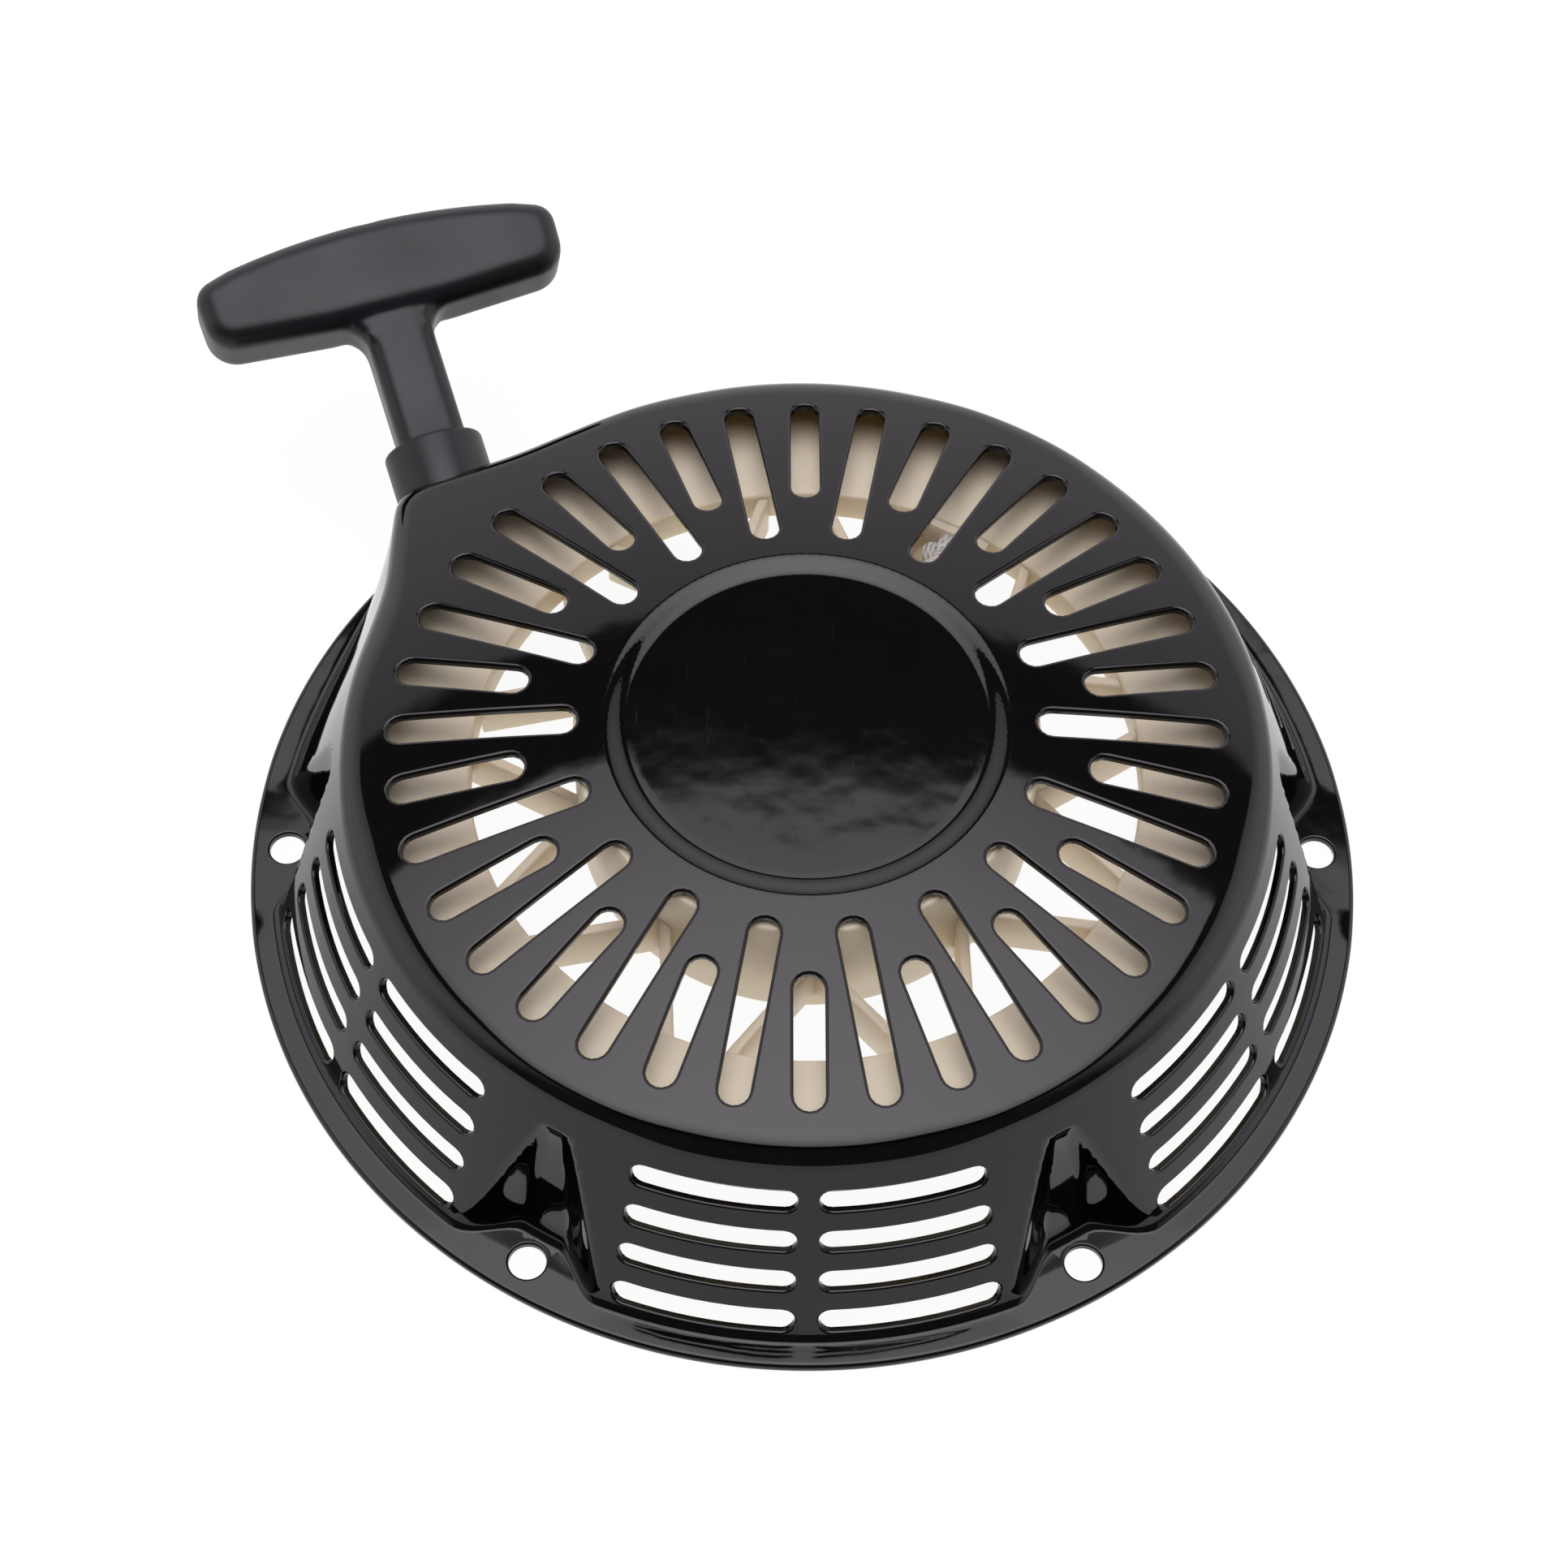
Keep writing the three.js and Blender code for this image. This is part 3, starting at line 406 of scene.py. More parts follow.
def rounded(corners, steps=5):
    """A closed outline from corners (x, y, radius), each replaced by an arc that touches both its sides."""
    points = []
    count = len(corners)
    for i, (x, y, radius) in enumerate(corners):
        here = Vector((x, y))
        before = Vector(corners[i - 1][:2])
        after = Vector(corners[(i + 1) % count][:2])
        a, b = (before - here), (after - here)
        half = a.angle(b) / 2
        reach = min(radius / math.tan(half), a.length * 0.49, b.length * 0.49) if radius > 0 else 0
        if reach < 1e-4:
            points.append((x, y))
            continue
        real = reach * math.tan(half)
        a.normalize()
        b.normalize()
        centre = here + (a + b).normalized() * (real / math.sin(half))
        start = here + a * reach - centre
        turn = start.angle_signed(here + b * reach - centre)
        for k in range(steps + 1):
            c, s = math.cos(-turn * k / steps), math.sin(-turn * k / steps)
            points.append((centre.x + start.x * c - start.y * s, centre.y + start.x * s + start.y * c))
    return points


def turned(name, profile, material, segments, place=None):
    """A solid of revolution about Z from a closed outline of (radius, height) points."""
    rows = len(profile)
    points, faces = [], []
    for k in range(segments):
        c, s = polar(1.0, 360.0 * k / segments)
        points += [(r * c, r * s, z) for r, z in profile]
    for k in range(segments):
        a, b = k * rows, ((k + 1) % segments) * rows
        for i in range(rows):
            j = (i + 1) % rows
            on_axis = abs(profile[i][0]) < 1e-6 and abs(profile[j][0]) < 1e-6
            if not on_axis:
                faces.append((a + i, b + i, b + j, a + j))
    piece = piece_from(name, points, faces, material, place)
    work = bmesh.new()
    work.from_mesh(piece.data)
    bmesh.ops.remove_doubles(work, verts=work.verts, dist=1e-7)
    work.to_mesh(piece.data)
    work.free()
    return piece


def plate(name, outline, holes, low, high, material, bevel=0.0, place=None):
    """A flat plate with holes, from closed outlines of (x, y) points."""
    loops = [outline, *holes]
    flat = [Vector(p) for loop in loops for p in loop]
    edges, first = [], 0
    for loop in loops:
        count = len(loop)
        edges += [(first + i, first + (i + 1) % count) for i in range(count)]
        first += count
    points, _, faces, origin, _, _ = delaunay_2d_cdt(flat, edges, [], 0, 1e-6)
    kept = []
    for face in faces:
        middle = sum((points[i] for i in face), Vector((0.0, 0.0))) / 3
        if inside(middle, outline) and not any(inside(middle, hole) for hole in holes):
            kept.append([origin[i][0] for i in face])
    count = len(flat)
    solid = [(p.x, p.y, low) for p in flat] + [(p.x, p.y, high) for p in flat]
    sides = [(a, b, b + count, a + count) for a, b in edges]
    skin = [tuple(reversed(f)) for f in kept] + [tuple(i + count for i in f) for f in kept]
    piece = piece_from(name, solid, skin + sides, material, place)
    return bevelled(piece, bevel, 2) if bevel else piece


def cushion(name, outline, half, radius, material, place):
    """A plate with its whole edge rounded: its outline is drawn in towards both faces."""
    flat = np.array(outline)
    ahead = np.roll(flat, -1, 0) - np.roll(flat, 1, 0)
    area = (flat[:, 0] * np.roll(flat[:, 1], -1) - flat[:, 1] * np.roll(flat[:, 0], -1)).sum()
    out = np.stack([ahead[:, 1], -ahead[:, 0]], -1) / np.linalg.norm(ahead, axis=1)[:, None] * np.sign(area)
    quarter = [math.radians(a) for a in np.linspace(0, 90, 9)]
    levels = [(-1, a) for a in reversed(quarter)] + [(1, a) for a in quarter]
    rings = []
    for side, a in levels:
        drawn = flat - out * radius * (1 - math.cos(a))
        rings.append(np.c_[drawn, np.full(len(flat), side * (half - radius + radius * math.sin(a)))])
    n = len(flat)
    faces = [(k * n + i, k * n + (i + 1) % n, (k + 1) * n + (i + 1) % n, (k + 1) * n + i)
             for k in range(len(rings) - 1) for i in range(n)]
    faces += [tuple(range(n))[::-1], tuple(range(n * (len(rings) - 1), n * len(rings)))]
    return piece_from(name, np.concatenate(rings), faces, material, place)


def inside(point, loop):
    """True if the point is inside the closed outline."""
    result = False
    for (x0, y0), (x1, y1) in zip(loop, [*loop[1:], loop[0]]):
        if (y0 > point[1]) != (y1 > point[1]) and point[0] < (x1 - x0) * (point[1] - y0) / (y1 - y0) + x0:
            result = not result
    return result


def circle(r, count):
    turns = [2 * math.pi * i / count for i in range(count)]
    return [(r * math.cos(a), r * math.sin(a)) for a in turns]


def smooth_path(points, step):
    """Points along a Catmull-Rom curve through the given ones, about step apart."""
    p = np.array(points, float)
    p = np.vstack([2 * p[0] - p[1], p, 2 * p[-1] - p[-2]])
    out = []
    for i in range(1, len(p) - 2):
        a, b, c, d = p[i - 1:i + 3]
        pieces = max(1, round(np.linalg.norm(c - b) / step))
        for k in range(pieces):
            t = k / pieces
            out.append(0.5 * (2 * b + (c - a) * t + (2 * a - 5 * b + 4 * c - d) * t * t
                              + (3 * b - a - 3 * c + d) * t ** 3))
    return np.array([*out, p[-2]])


def tube(name, points, radius, material, sides, closed=False, place=None):
    """A rod or rope along points in millimetres. Its UV map has turns across and millimetres along."""
    p = np.array(points, float)
    ahead = np.roll(p, -1, 0) - np.roll(p, 1, 0)
    if not closed:
        ahead[0], ahead[-1] = p[1] - p[0], p[-1] - p[-2]
    ahead /= np.linalg.norm(ahead, axis=1)[:, None]
    side = np.cross(ahead[0], (0.0, 0.0, 1.0) if abs(ahead[0][2]) < 0.9 else (1.0, 0.0, 0.0))
    rings = []
    for i in range(len(p)):
        side = side - (side @ ahead[i]) * ahead[i]
        side /= np.linalg.norm(side)
        up = np.cross(ahead[i], side)
        angles = 2 * np.pi * np.arange(sides) / sides
        rings.append(p[i] + radius * (np.cos(angles)[:, None] * side + np.sin(angles)[:, None] * up))
    count = len(p)
    spans = count if closed else count - 1
    faces = [(i * sides + k, i * sides + (k + 1) % sides, ((i + 1) % count) * sides + (k + 1) % sides,
              ((i + 1) % count) * sides + k) for i in range(spans) for k in range(sides)]
    if not closed:
        faces += [tuple(range(sides))[::-1], tuple((count - 1) * sides + k for k in range(sides))]
    piece = piece_from(name, np.concatenate(rings), faces, material, place, 60)
    travelled = np.concatenate([[0.0], np.cumsum(np.linalg.norm(np.diff(p, axis=0), axis=1))])
    layer = piece.data.uv_layers.new(name="along")
    uv = np.zeros((len(piece.data.loops), 2), np.float32)
    for face in piece.data.polygons:
        wraps = face.index < spans * sides and face.index % sides == sides - 1
        for loop in face.loop_indices:
            vertex = piece.data.loops[loop].vertex_index
            ring, k = divmod(vertex, sides)
            uv[loop] = (1.0 if wraps and k == 0 else k / sides, travelled[ring])
    layer.data.foreach_set("uv", uv.ravel())
    return piece


def remeshed(piece, voxel, rounds):
    """Joins overlapping solids into one skin and softens every edge and inner corner alike."""
    with_modifier(piece, "REMESH", mode="VOXEL", voxel_size=voxel * MM, use_smooth_shade=True)
    with_modifier(piece, "SMOOTH", factor=0.5, iterations=rounds)
    return shaded(piece, 180)


# ------------------------------------------------------------------ pressed steel cover
def crown_z(r):
    return CROWN_TOP - CROWN_CURVE * r * r


def cone_r(z):
    return WALL_TOP_R + (WALL_TOP_Z - z) * WALL_SLOPE


def blended_max(a, b, run):
    """The larger of two lengths, with a blend where they differ by less than run."""
    return np.maximum(a, b) + np.maximum(0.0, run - np.abs(a - b)) ** 2 / (4 * run)


def bulge(deg):
    """How far the bulge carries the shoulder outwards."""
    deg = np.mod(deg, 360.0)
    outlet_r = OUTLET_FACE / np.cos(np.radians(np.clip(deg - OUTLET_FACES, 0, BULGE_WIDEST)))
    side_r = SIDE_FACE / np.cos(np.radians(np.clip(SIDE_FACES - deg, 0, BULGE_WIDEST)))
    corner_r = -blended_max(-outlet_r, -side_r, BULGE_ROUND)
    return blended_max(SHOULDER_R, corner_r, BULGE_JOIN) - SHOULDER_R


def off_bolt(deg):
    """The angle to the nearest bolt hole."""
    return np.abs(deg - BOLT_SPACING * np.round(deg / BOLT_SPACING))


def shoulder_run(deg):
    """How far the shoulder's rounding reaches: little near the bolts and much over the louvre panels."""
    share = 1 - (1 - RUN_BULGE_SHARE) * smooth(bulge(deg) / RUN_BULGE_OVER)
    return RUN_BOLT + (RUN_PANEL - RUN_BOLT) * share * smooth((off_bolt(deg) - RUN_FROM) / RUN_OVER)


def shoulder_end(deg):
    """The height at which the shoulder has become the straight wall."""
    return crown_z(SHOULDER_R + bulge(deg)) - shoulder_run(deg) * math.cos(math.atan(WALL_SLOPE))


def pocket(deg, z):
    """How far the wall is pressed in around the nearest bolt hole."""
    rise = np.clip((z - POCKET_LOW_Z) / (POCKET_APEX_Z - POCKET_LOW_Z), 0.0, 1.0)
    width = POCKET_WIDE + (POCKET_NARROW - POCKET_WIDE) * rise ** POCKET_NARROWING
    across = smooth((1 - off_bolt(deg) / width) / (1 - POCKET_FLAT))
    return POCKET_DEPTH * (1 - rise) ** POCKET_DEEPENING * across


def wall_r(deg, z):
    share = BULGE_FOOT + (1 - BULGE_FOOT) * (z - FOOT_Z) / (crown_z(SHOULDER_R) - FOOT_Z)
    return cone_r(z) + share * bulge(deg) - pocket(deg, z)


# The skin is laid out flat: a point's distance s from the middle says how far it is along the meridian.
S_CROWN = 85.5
S_SHOULDER = S_CROWN + 8.0
S_WALL = S_SHOULDER + 38.3
S_FOOT = S_WALL + 4.5
S_RIM = S_FOOT + 5.0
STRETCH_FROM = 81.8            # outside the slots, where the bulge starts to widen the crown


def curve_point(a, b, c, t):
    return (1 - t) ** 2 * a + 2 * t * (1 - t) * b + t * t * c


def skin(s, deg):
    """The cover's outer skin: (n, 3) points in millimetres at flat distance s and azimuth deg."""
    s, deg = np.asarray(s, float), np.asarray(deg, float)
    corner_r, run = SHOULDER_R + bulge(deg), shoulder_run(deg)
    # crown with its dish
    r_crown = s + (corner_r - run - S_CROWN) * smooth((s - STRETCH_FROM) / (S_CROWN - STRETCH_FROM))
    out_of_dish = smooth((s - DISH_FLOOR_R) / (DISH_EDGE_R - DISH_FLOOR_R))
    rim_of_dish = crown_z(r_crown) - DISH_DEPTH * (1 - out_of_dish)
    floor = crown_z(DISH_FLOOR_R) - DISH_DEPTH - DISH_SAG * (1 - (s / DISH_FLOOR_R) ** 2)
    z_crown = np.where(s < DISH_FLOOR_R, floor, rim_of_dish)
    # shoulder
    end_z = shoulder_end(deg)
    t = np.clip((s - S_CROWN) / (S_SHOULDER - S_CROWN), 0, 1)
    r_bend = curve_point(corner_r - run, corner_r, wall_r(deg, end_z), t)
    z_bend = curve_point(crown_z(corner_r - run), crown_z(corner_r), end_z, t)
    # wall
    t = np.clip((s - S_SHOULDER) / (S_WALL - S_SHOULDER), 0, 1)
    z_wall = end_z + (FOOT_Z - end_z) * t
    r_wall = wall_r(deg, z_wall)
    # foot and flange
    foot_r = wall_r(deg, FOOT_Z)
    flat_r = np.minimum(foot_r + FOOT_RUN, FLANGE_R - FOOT_RIM)
    t = np.clip((s - S_WALL) / (S_FOOT - S_WALL), 0, 1)
    knee_r = np.minimum(foot_r + (FOOT_Z - SHEET) * WALL_SLOPE, flat_r)
    r_foot = curve_point(foot_r, knee_r, flat_r, t)
    z_foot = curve_point(FOOT_Z, SHEET, SHEET, t)
    r_flat = flat_r + (FLANGE_R - flat_r) * (s - S_FOOT) / (S_RIM - S_FOOT)
    zones = [s <= S_CROWN, s <= S_SHOULDER, s <= S_WALL, s <= S_FOOT]
    r = np.select(zones, [r_crown, r_bend, r_wall, r_foot], r_flat)
    z_flat = SHEET + FLANGE_SPRING * (r_flat - flat_r) * smooth((off_bolt(deg) - SPRING_FROM) / SPRING_OVER)
    z = np.select(zones, [z_crown, z_bend, z_wall, z_foot], z_flat)
    a = np.radians(deg)
    return np.stack([r * np.cos(a), r * np.sin(a), z + 0 * r], -1)


def skin_normal(flat):
    """Outward unit normals at flat (x, y) points, from differences over a twentieth of a millimetre."""
    step = 0.05
    at = [skin(*flat_polar(flat + d)) for d in ((step, 0), (-step, 0), (0, step), (0, -step))]
    n = np.cross(at[0] - at[1], at[2] - at[3])
    return n / np.linalg.norm(n, axis=1)[:, None]


def flat_polar(flat):
    return np.hypot(flat[:, 0], flat[:, 1]), np.degrees(np.arctan2(flat[:, 1], flat[:, 0]))


def flat_xy(s, deg):
    a = np.radians(deg)
    return np.stack([s * np.cos(a), s * np.sin(a)], -1)


def flange_lay(p):
    """From real (x, y) points of the flange to the flat layout."""
    r, deg = np.hypot(p[:, 0], p[:, 1]), np.degrees(np.arctan2(p[:, 1], p[:, 0]))
    flat_r = np.minimum(wall_r(deg, FOOT_Z) + FOOT_RUN, FLANGE_R - FOOT_RIM)
    return flat_xy(S_FOOT + (r - flat_r) / (FLANGE_R - flat_r) * (S_RIM - S_FOOT), deg)


def stadium(length, half, grow, along=9, around=8):
    """Points of a straight slot of that length along X from 0, with round ends, grown by grow."""
    r = half + grow
    points = []
    for centre, start in ((length - half, -90), (half, 90)):
        points += [(centre + r * math.cos(math.radians(start + 180 * i / around)),
                    r * math.sin(math.radians(start + 180 * i / around))) for i in range(around + 1)]
        ahead = 1 if start < 0 else -1
        first, last = (length - half, half) if start < 0 else (half, length - half)
        points += [(first + (last - first) * i / along, ahead * r) for i in range(1, along)]
    return np.array(points)


def top_slot(i):
    """The i-th slot of the crown as a function from its own (x, y) to the flat layout, and its length."""
    start = SLOT_LONG_R if i % 2 == 0 else SLOT_SHORT_R
    turn = math.radians(i * 360.0 / SLOTS)

    def lay(p):
        x, y = p[:, 0] + start, p[:, 1]
        c, s = math.cos(turn), math.sin(turn)
        return np.stack([x * c - y * s, x * s + y * c], -1)
    return lay, SLOT_OUTER_R - start


def louvre(panel, side, row):
    """One louvre of the wall, in the same form."""
    middle_z = LOUVRE_TOP_Z - row * LOUVRE_PITCH_Z
    per_mm = math.degrees(1 / cone_r(middle_z))
    start = LOUVRE_INNER / per_mm

    def lay(p):
        z = middle_z + p[:, 1] * math.cos(math.atan(WALL_SLOPE))
        deg = panel + side * (start + p[:, 0]) * per_mm
        top = shoulder_end(deg)
        return flat_xy(S_SHOULDER + (top - z) / (top - FOOT_Z) * (S_WALL - S_SHOULDER), deg)
    return lay, (LOUVRE_OUTER - LOUVRE_INNER) / per_mm


class Layout:
    """Collects the flat points of the cover's skin and the loops of edges that the mesh has to keep."""

    def __init__(self):
        self.flat, self.drop, self.lean, self.hole, self.edges = [], [], [], [], []
        self.count, self.holes = 0, 0

    def add(self, flat, drop=0.0, lean=None, hole=-1, loop=False):
        n = len(flat)
        self.flat.append(flat)
        self.drop.append(np.full(n, drop))
        self.lean.append(np.zeros((n, 3)) if lean is None else lean)
        self.hole.append(np.full(n, hole))
        if loop:
            self.edges += [(self.count + i, self.count + (i + 1) % n) for i in range(n)]
        self.count += n

    def lip(self, ring, lay, radius, clear=HOLE_CLEAR, steps=4):
        """Adds a hole or rim with its edge rounded. ring(d) is its outline in its own (x, y), d off."""
        inward = ring(0.0) - ring(0.02)
        for k in range(steps + 1):
            angle = math.pi / 2 * (1 - k / steps)
            outline = ring(radius * (1 - math.sin(angle)))
            here = skin(*flat_polar(lay(outline)))
            towards = skin(*flat_polar(lay(outline + inward))) - here
            towards /= np.linalg.norm(towards, axis=1)[:, None]
            self.add(lay(outline), radius * (1 - math.cos(angle)), towards * math.sin(angle),
                     self.holes if k == 0 else -1, loop=True)
        self.add(lay(ring(radius + clear)), loop=True)
        self.holes += 1


def lattice_rings():
    """(flat distance, number of points) of the rings of plain points between the features."""
    rings = [(s, max(12, round(s * 2.2))) for s in (5, 10, 15, 20, 25, 30, 33.2)]
    rings += [(s, 132) for s in np.linspace(DISH_FLOOR_R, DISH_EDGE_R, 9)]
    rings += [(s, round(2 * math.pi * s / 2.6)) for s in np.arange(41.2, STRETCH_FROM, 2.0)]
    rings += [(s, 300) for s in (STRETCH_FROM + 0.2, 82.9, 83.9)]
    rings += [(s, 360) for s in np.linspace(S_CROWN, S_SHOULDER, 12)]
    rings += [(s, 480) for s in np.linspace(S_SHOULDER, S_WALL, 24)[1:]]
    rings += [(s, 480) for s in np.linspace(S_WALL, S_FOOT, 8)[1:]]
    rings += [(s, 480) for s in np.linspace(S_FOOT, S_RIM, 6)[1:-1]]
    return rings


def near_hole(points, outlines, clear):
    """Marks the flat points that are inside an outline or nearer to it than clear."""
    marked = np.zeros(len(points), bool)
    for outline in outlines:
        low, high = outline.min(0) - clear, outline.max(0) + clear
        some = np.where(((points > low) & (points < high)).all(1) & ~marked)[0]
        if len(some) == 0:
            continue
        p = points[some][:, None, :]
        a, b = outline[None], np.roll(outline, -1, 0)[None]
        t = np.clip(((p - a) * (b - a)).sum(2) / ((b - a) ** 2).sum(2), 0, 1)
        away = np.linalg.norm(p - a - t[:, :, None] * (b - a), axis=2).min(1)
        crosses = (a[:, :, 1] > p[:, :, 1]) != (b[:, :, 1] > p[:, :, 1])
        rise = np.where(b[:, :, 1] == a[:, :, 1], 1e-9, b[:, :, 1] - a[:, :, 1])
        at_x = a[:, :, 0] + (b[:, :, 0] - a[:, :, 0]) * (p[:, :, 1] - a[:, :, 1]) / rise
        within = (crosses & (p[:, :, 0] < at_x)).sum(1) % 2 == 1
        marked[some] = within | (away < clear)
    return marked


def outlet_matrix():
    """From the outlet's own axes (X to the side, Y down, Z out along the rope) to the frame's, in mm."""
    azimuth, tilt, roll = (math.radians(v) for v in (OUTLET_AZIMUTH, OUTLET_TILT, OUTLET_ROLL))
    along = Vector((math.cos(tilt) * math.cos(azimuth), math.cos(tilt) * math.sin(azimuth), math.sin(tilt)))
    side = Vector((math.sin(azimuth), -math.cos(azimuth), 0))
    side.rotate(Matrix.Rotation(-roll, 3, along))
    down = along.cross(side)
    axes = Matrix((side, down, along)).transposed().to_4x4()
    return Matrix.Translation(OUTLET_AT) @ axes


OUTLET = outlet_matrix()


def outlet_ring(clearance, count=56):
    """The flat outline where a cylinder about the outlet's axis meets the skin, found by halving."""
    axis, origin = np.array(OUTLET.col[2][:3]), np.array(OUTLET_AT, float)

    def off_axis(flat):
        d = skin(*flat_polar(flat)) - origin
        return np.linalg.norm(d - (d @ axis)[:, None] * axis, axis=1)
    deg0 = math.degrees(math.atan2(OUTLET_AT[1], OUTLET_AT[0]))
    tries = flat_xy(np.linspace(S_CROWN, S_WALL, 200), deg0)
    middle = tries[off_axis(tries).argmin()]
    for _ in range(30):
        steps = np.array([[x, y] for x in (-1, 0, 1) for y in (-1, 0, 1)]) * 0.5
        middle = (middle + steps)[off_axis(middle + steps).argmin()]
    a = 2 * np.pi * np.arange(count) / count
    ray = np.stack([np.cos(a), np.sin(a)], -1)
    near, far = np.zeros(count), np.full(count, 30.0)
    for _ in range(30):
        half = (near + far) / 2
        out = off_axis(middle + ray * half[:, None]) > GUIDE_HOLE_R + clearance
        far, near = np.where(out, half, far), np.where(out, near, half)
    return middle + ray * near[:, None]


def cover_layout():
    layout = Layout()
    guards = []

    def punched(lay, ring, radius):
        layout.lip(ring, lay, radius)
        guards.append(lay(ring(radius + HOLE_CLEAR)))
    for i in range(SLOTS):
        lay, length = top_slot(i)
        punched(lay, lambda d, length=length: stadium(length, SLOT_WIDTH / 2, d), SLOT_LIP)
    for panel in LOUVRE_PANELS:
        for side in (-1, 1):
            for row in range(LOUVRE_ROWS):
                lay, length = louvre(panel, side, row)
                punched(lay, lambda d, length=length: stadium(length, LOUVRE_HEIGHT / 2, d), LOUVRE_LIP)
    for i in range(BOLTS):
        centre = np.array(polar(BOLT_CIRCLE_R, BOLT_SPACING * i))
        punched(lambda p, centre=centre: flange_lay(p + centre),
                lambda d: np.array(circle(BOLT_HOLE_R + d, 32)), BOLT_LIP)
    layout.lip(lambda d: np.array(circle(FLANGE_R - d, 480)), flange_lay, RIM_LIP, clear=RIM_CLEAR)
    layout.add(outlet_ring(0.0), hole=layout.holes, loop=True)
    layout.holes += 1
    beside_outlet = outlet_ring(OUTLET_CLEAR)
    layout.add(beside_outlet, loop=True)
    guards.append(beside_outlet)
    plain = np.concatenate([[[0.0, 0.0]]] + [
        flat_xy(np.full(n, s), np.arange(n) * 360.0 / n + (180.0 / n) * (k % 2 if s < S_CROWN else 0))
        for k, (s, n) in enumerate(lattice_rings())])
    plain = plain[~near_hole(plain, guards, 0.5)]
    real_r = np.linalg.norm(skin(*flat_polar(plain))[:, :2], axis=1)
    layout.add(plain[real_r < FLANGE_R - RIM_LIP - 0.5])
    return layout


def housing():
    """The cover: outer skin with rounded lips, inner skin one sheet below, and the cut edges between them."""
    layout = cover_layout()
    flat = np.concatenate(layout.flat)
    drop, lean = np.concatenate(layout.drop), np.concatenate(layout.lean)
    hole = np.concatenate(layout.hole)
    _, _, faces, origin, _, _ = delaunay_2d_cdt([Vector(p) for p in flat], layout.edges, [], 0, 1e-5)
    first = np.array([o[0] if o else -1 for o in origin])
    triangles = first[np.array(faces)]
    same = (hole[triangles] == hole[triangles][:, :1]).all(1) & (hole[triangles[:, 0]] >= 0)
    triangles = triangles[~same]
    base = skin(*flat_polar(flat))
    normal = skin_normal(flat)
    outer = base - normal * drop[:, None]
    inner = base - normal * SHEET
    tilt = np.linalg.norm(lean, axis=1)
    outer_normal = normal * np.sqrt(np.clip(1 - tilt ** 2, 0, 1))[:, None] + lean
    outer_normal /= np.linalg.norm(outer_normal, axis=1)[:, None]
    n = len(flat)
    rings = [(a, b) for a, b in layout.edges if hole[a] >= 0 and hole[b] >= 0]
    edge_of = set()
    for t in triangles:
        edge_of |= {(t[0], t[1]), (t[1], t[2]), (t[2], t[0])}
    walls = [(b, a, a + n, b + n) if (a, b) in edge_of else (a, b, b + n, a + n) for a, b in rings]
    points = np.concatenate([outer, inner]) * MM
    mesh = bpy.data.meshes.new("cover_shell")
    mesh.from_pydata(points.tolist(), [], [*map(tuple, triangles.tolist()),
                                           *[tuple(t) for t in (triangles[:, ::-1] + n).tolist()], *walls])
    mesh.polygons.foreach_set("use_smooth", np.ones(len(mesh.polygons), bool))
    vertex = np.zeros(len(mesh.loops), int)
    mesh.loops.foreach_get("vertex_index", vertex)
    loops = np.concatenate([outer_normal, -normal])[vertex]
    wall_from = 6 * len(triangles)
    loops[wall_from:] = cut_normal(lean, normal)[vertex[wall_from:] % n]
    mesh.normals_split_custom_set(loops.tolist())
    piece = new_object("cover_shell", mesh, PAINT)
    return finished(piece, "cover", "paint", "housing")


def cut_normal(lean, normal):
    """The normal of the cut edge at each point: its lean where it has one, and else the skin's normal."""
    result = np.where(np.linalg.norm(lean, axis=1)[:, None] > 0.5, lean, normal)
    return result / np.linalg.norm(result, axis=1)[:, None]


def finished(piece, body, slot, *nodes):
    """Ties a piece to its body and hides the CAD nodes that it stands for. slot, the name of its finish, is
    not used.
    """
    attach(piece, body)
    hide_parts(*nodes)
    return piece


# ------------------------------------------------------------------ rope guide, handle, rope
def rope_guide():
    outside = rounded([
        (GUIDE_BORE_R, -6, 0.6), (9.4, -6, 0.5), (9.4, -3.2, 0.3), (GUIDE_R, -3.2, 0.0),
        (GUIDE_R, GUIDE_LENGTH, 1.1), (GUIDE_SOCKET_R, GUIDE_LENGTH, 0.6),
        (GUIDE_SOCKET_R, GUIDE_SOCKET_FROM, 0.6), (GUIDE_BORE_R, GUIDE_SOCKET_FROM, 1.2)])
    piece = turned("guide_bush", outside, PLASTIC, 144, OUTLET)
    return finished(piece, "cover", "black_plastic", "rope_guide")


def grip_outline():
    """The T's head seen from its flat side: straight towards the engine, arched on the far side."""
    half = GRIP_LENGTH / 2
    corners = [(half - 0.6, GRIP_END_NEAR, 6.5), (half, GRIP_END_FAR - 1, 4.6)]
    crest = np.linspace(half - 8, -half + 8, 41)
    arch = [(x, GRIP_END_FAR + (GRIP_FAR - GRIP_END_FAR) * (1 - (x / (half - 1)) ** 2), 0) for x in crest]
    left = [(-x, y, r) for x, y, r in reversed(corners)]
    root = STEM_HALF + STEM_FILLET
    return rounded([*corners, *arch, *left, (-root, GRIP_NEAR, 0), (root, GRIP_NEAR, 0)], 10)


def neck_outline():
    """The stem's last stretch with a fillet to each side into the head."""
    turns = [math.radians(180 - 90 * i / 10) for i in range(11)]
    right = [(STEM_HALF + STEM_FILLET * (1 + math.cos(a)), GRIP_NEAR + 0.4 + STEM_FILLET * (math.sin(a) - 1))
             for a in turns]
    wide, deep = STEM_HALF + STEM_FILLET, GRIP_NEAR + 5
    return [*right, (wide, deep), (-wide, deep), *[(-x, y) for x, y in reversed(right)]]


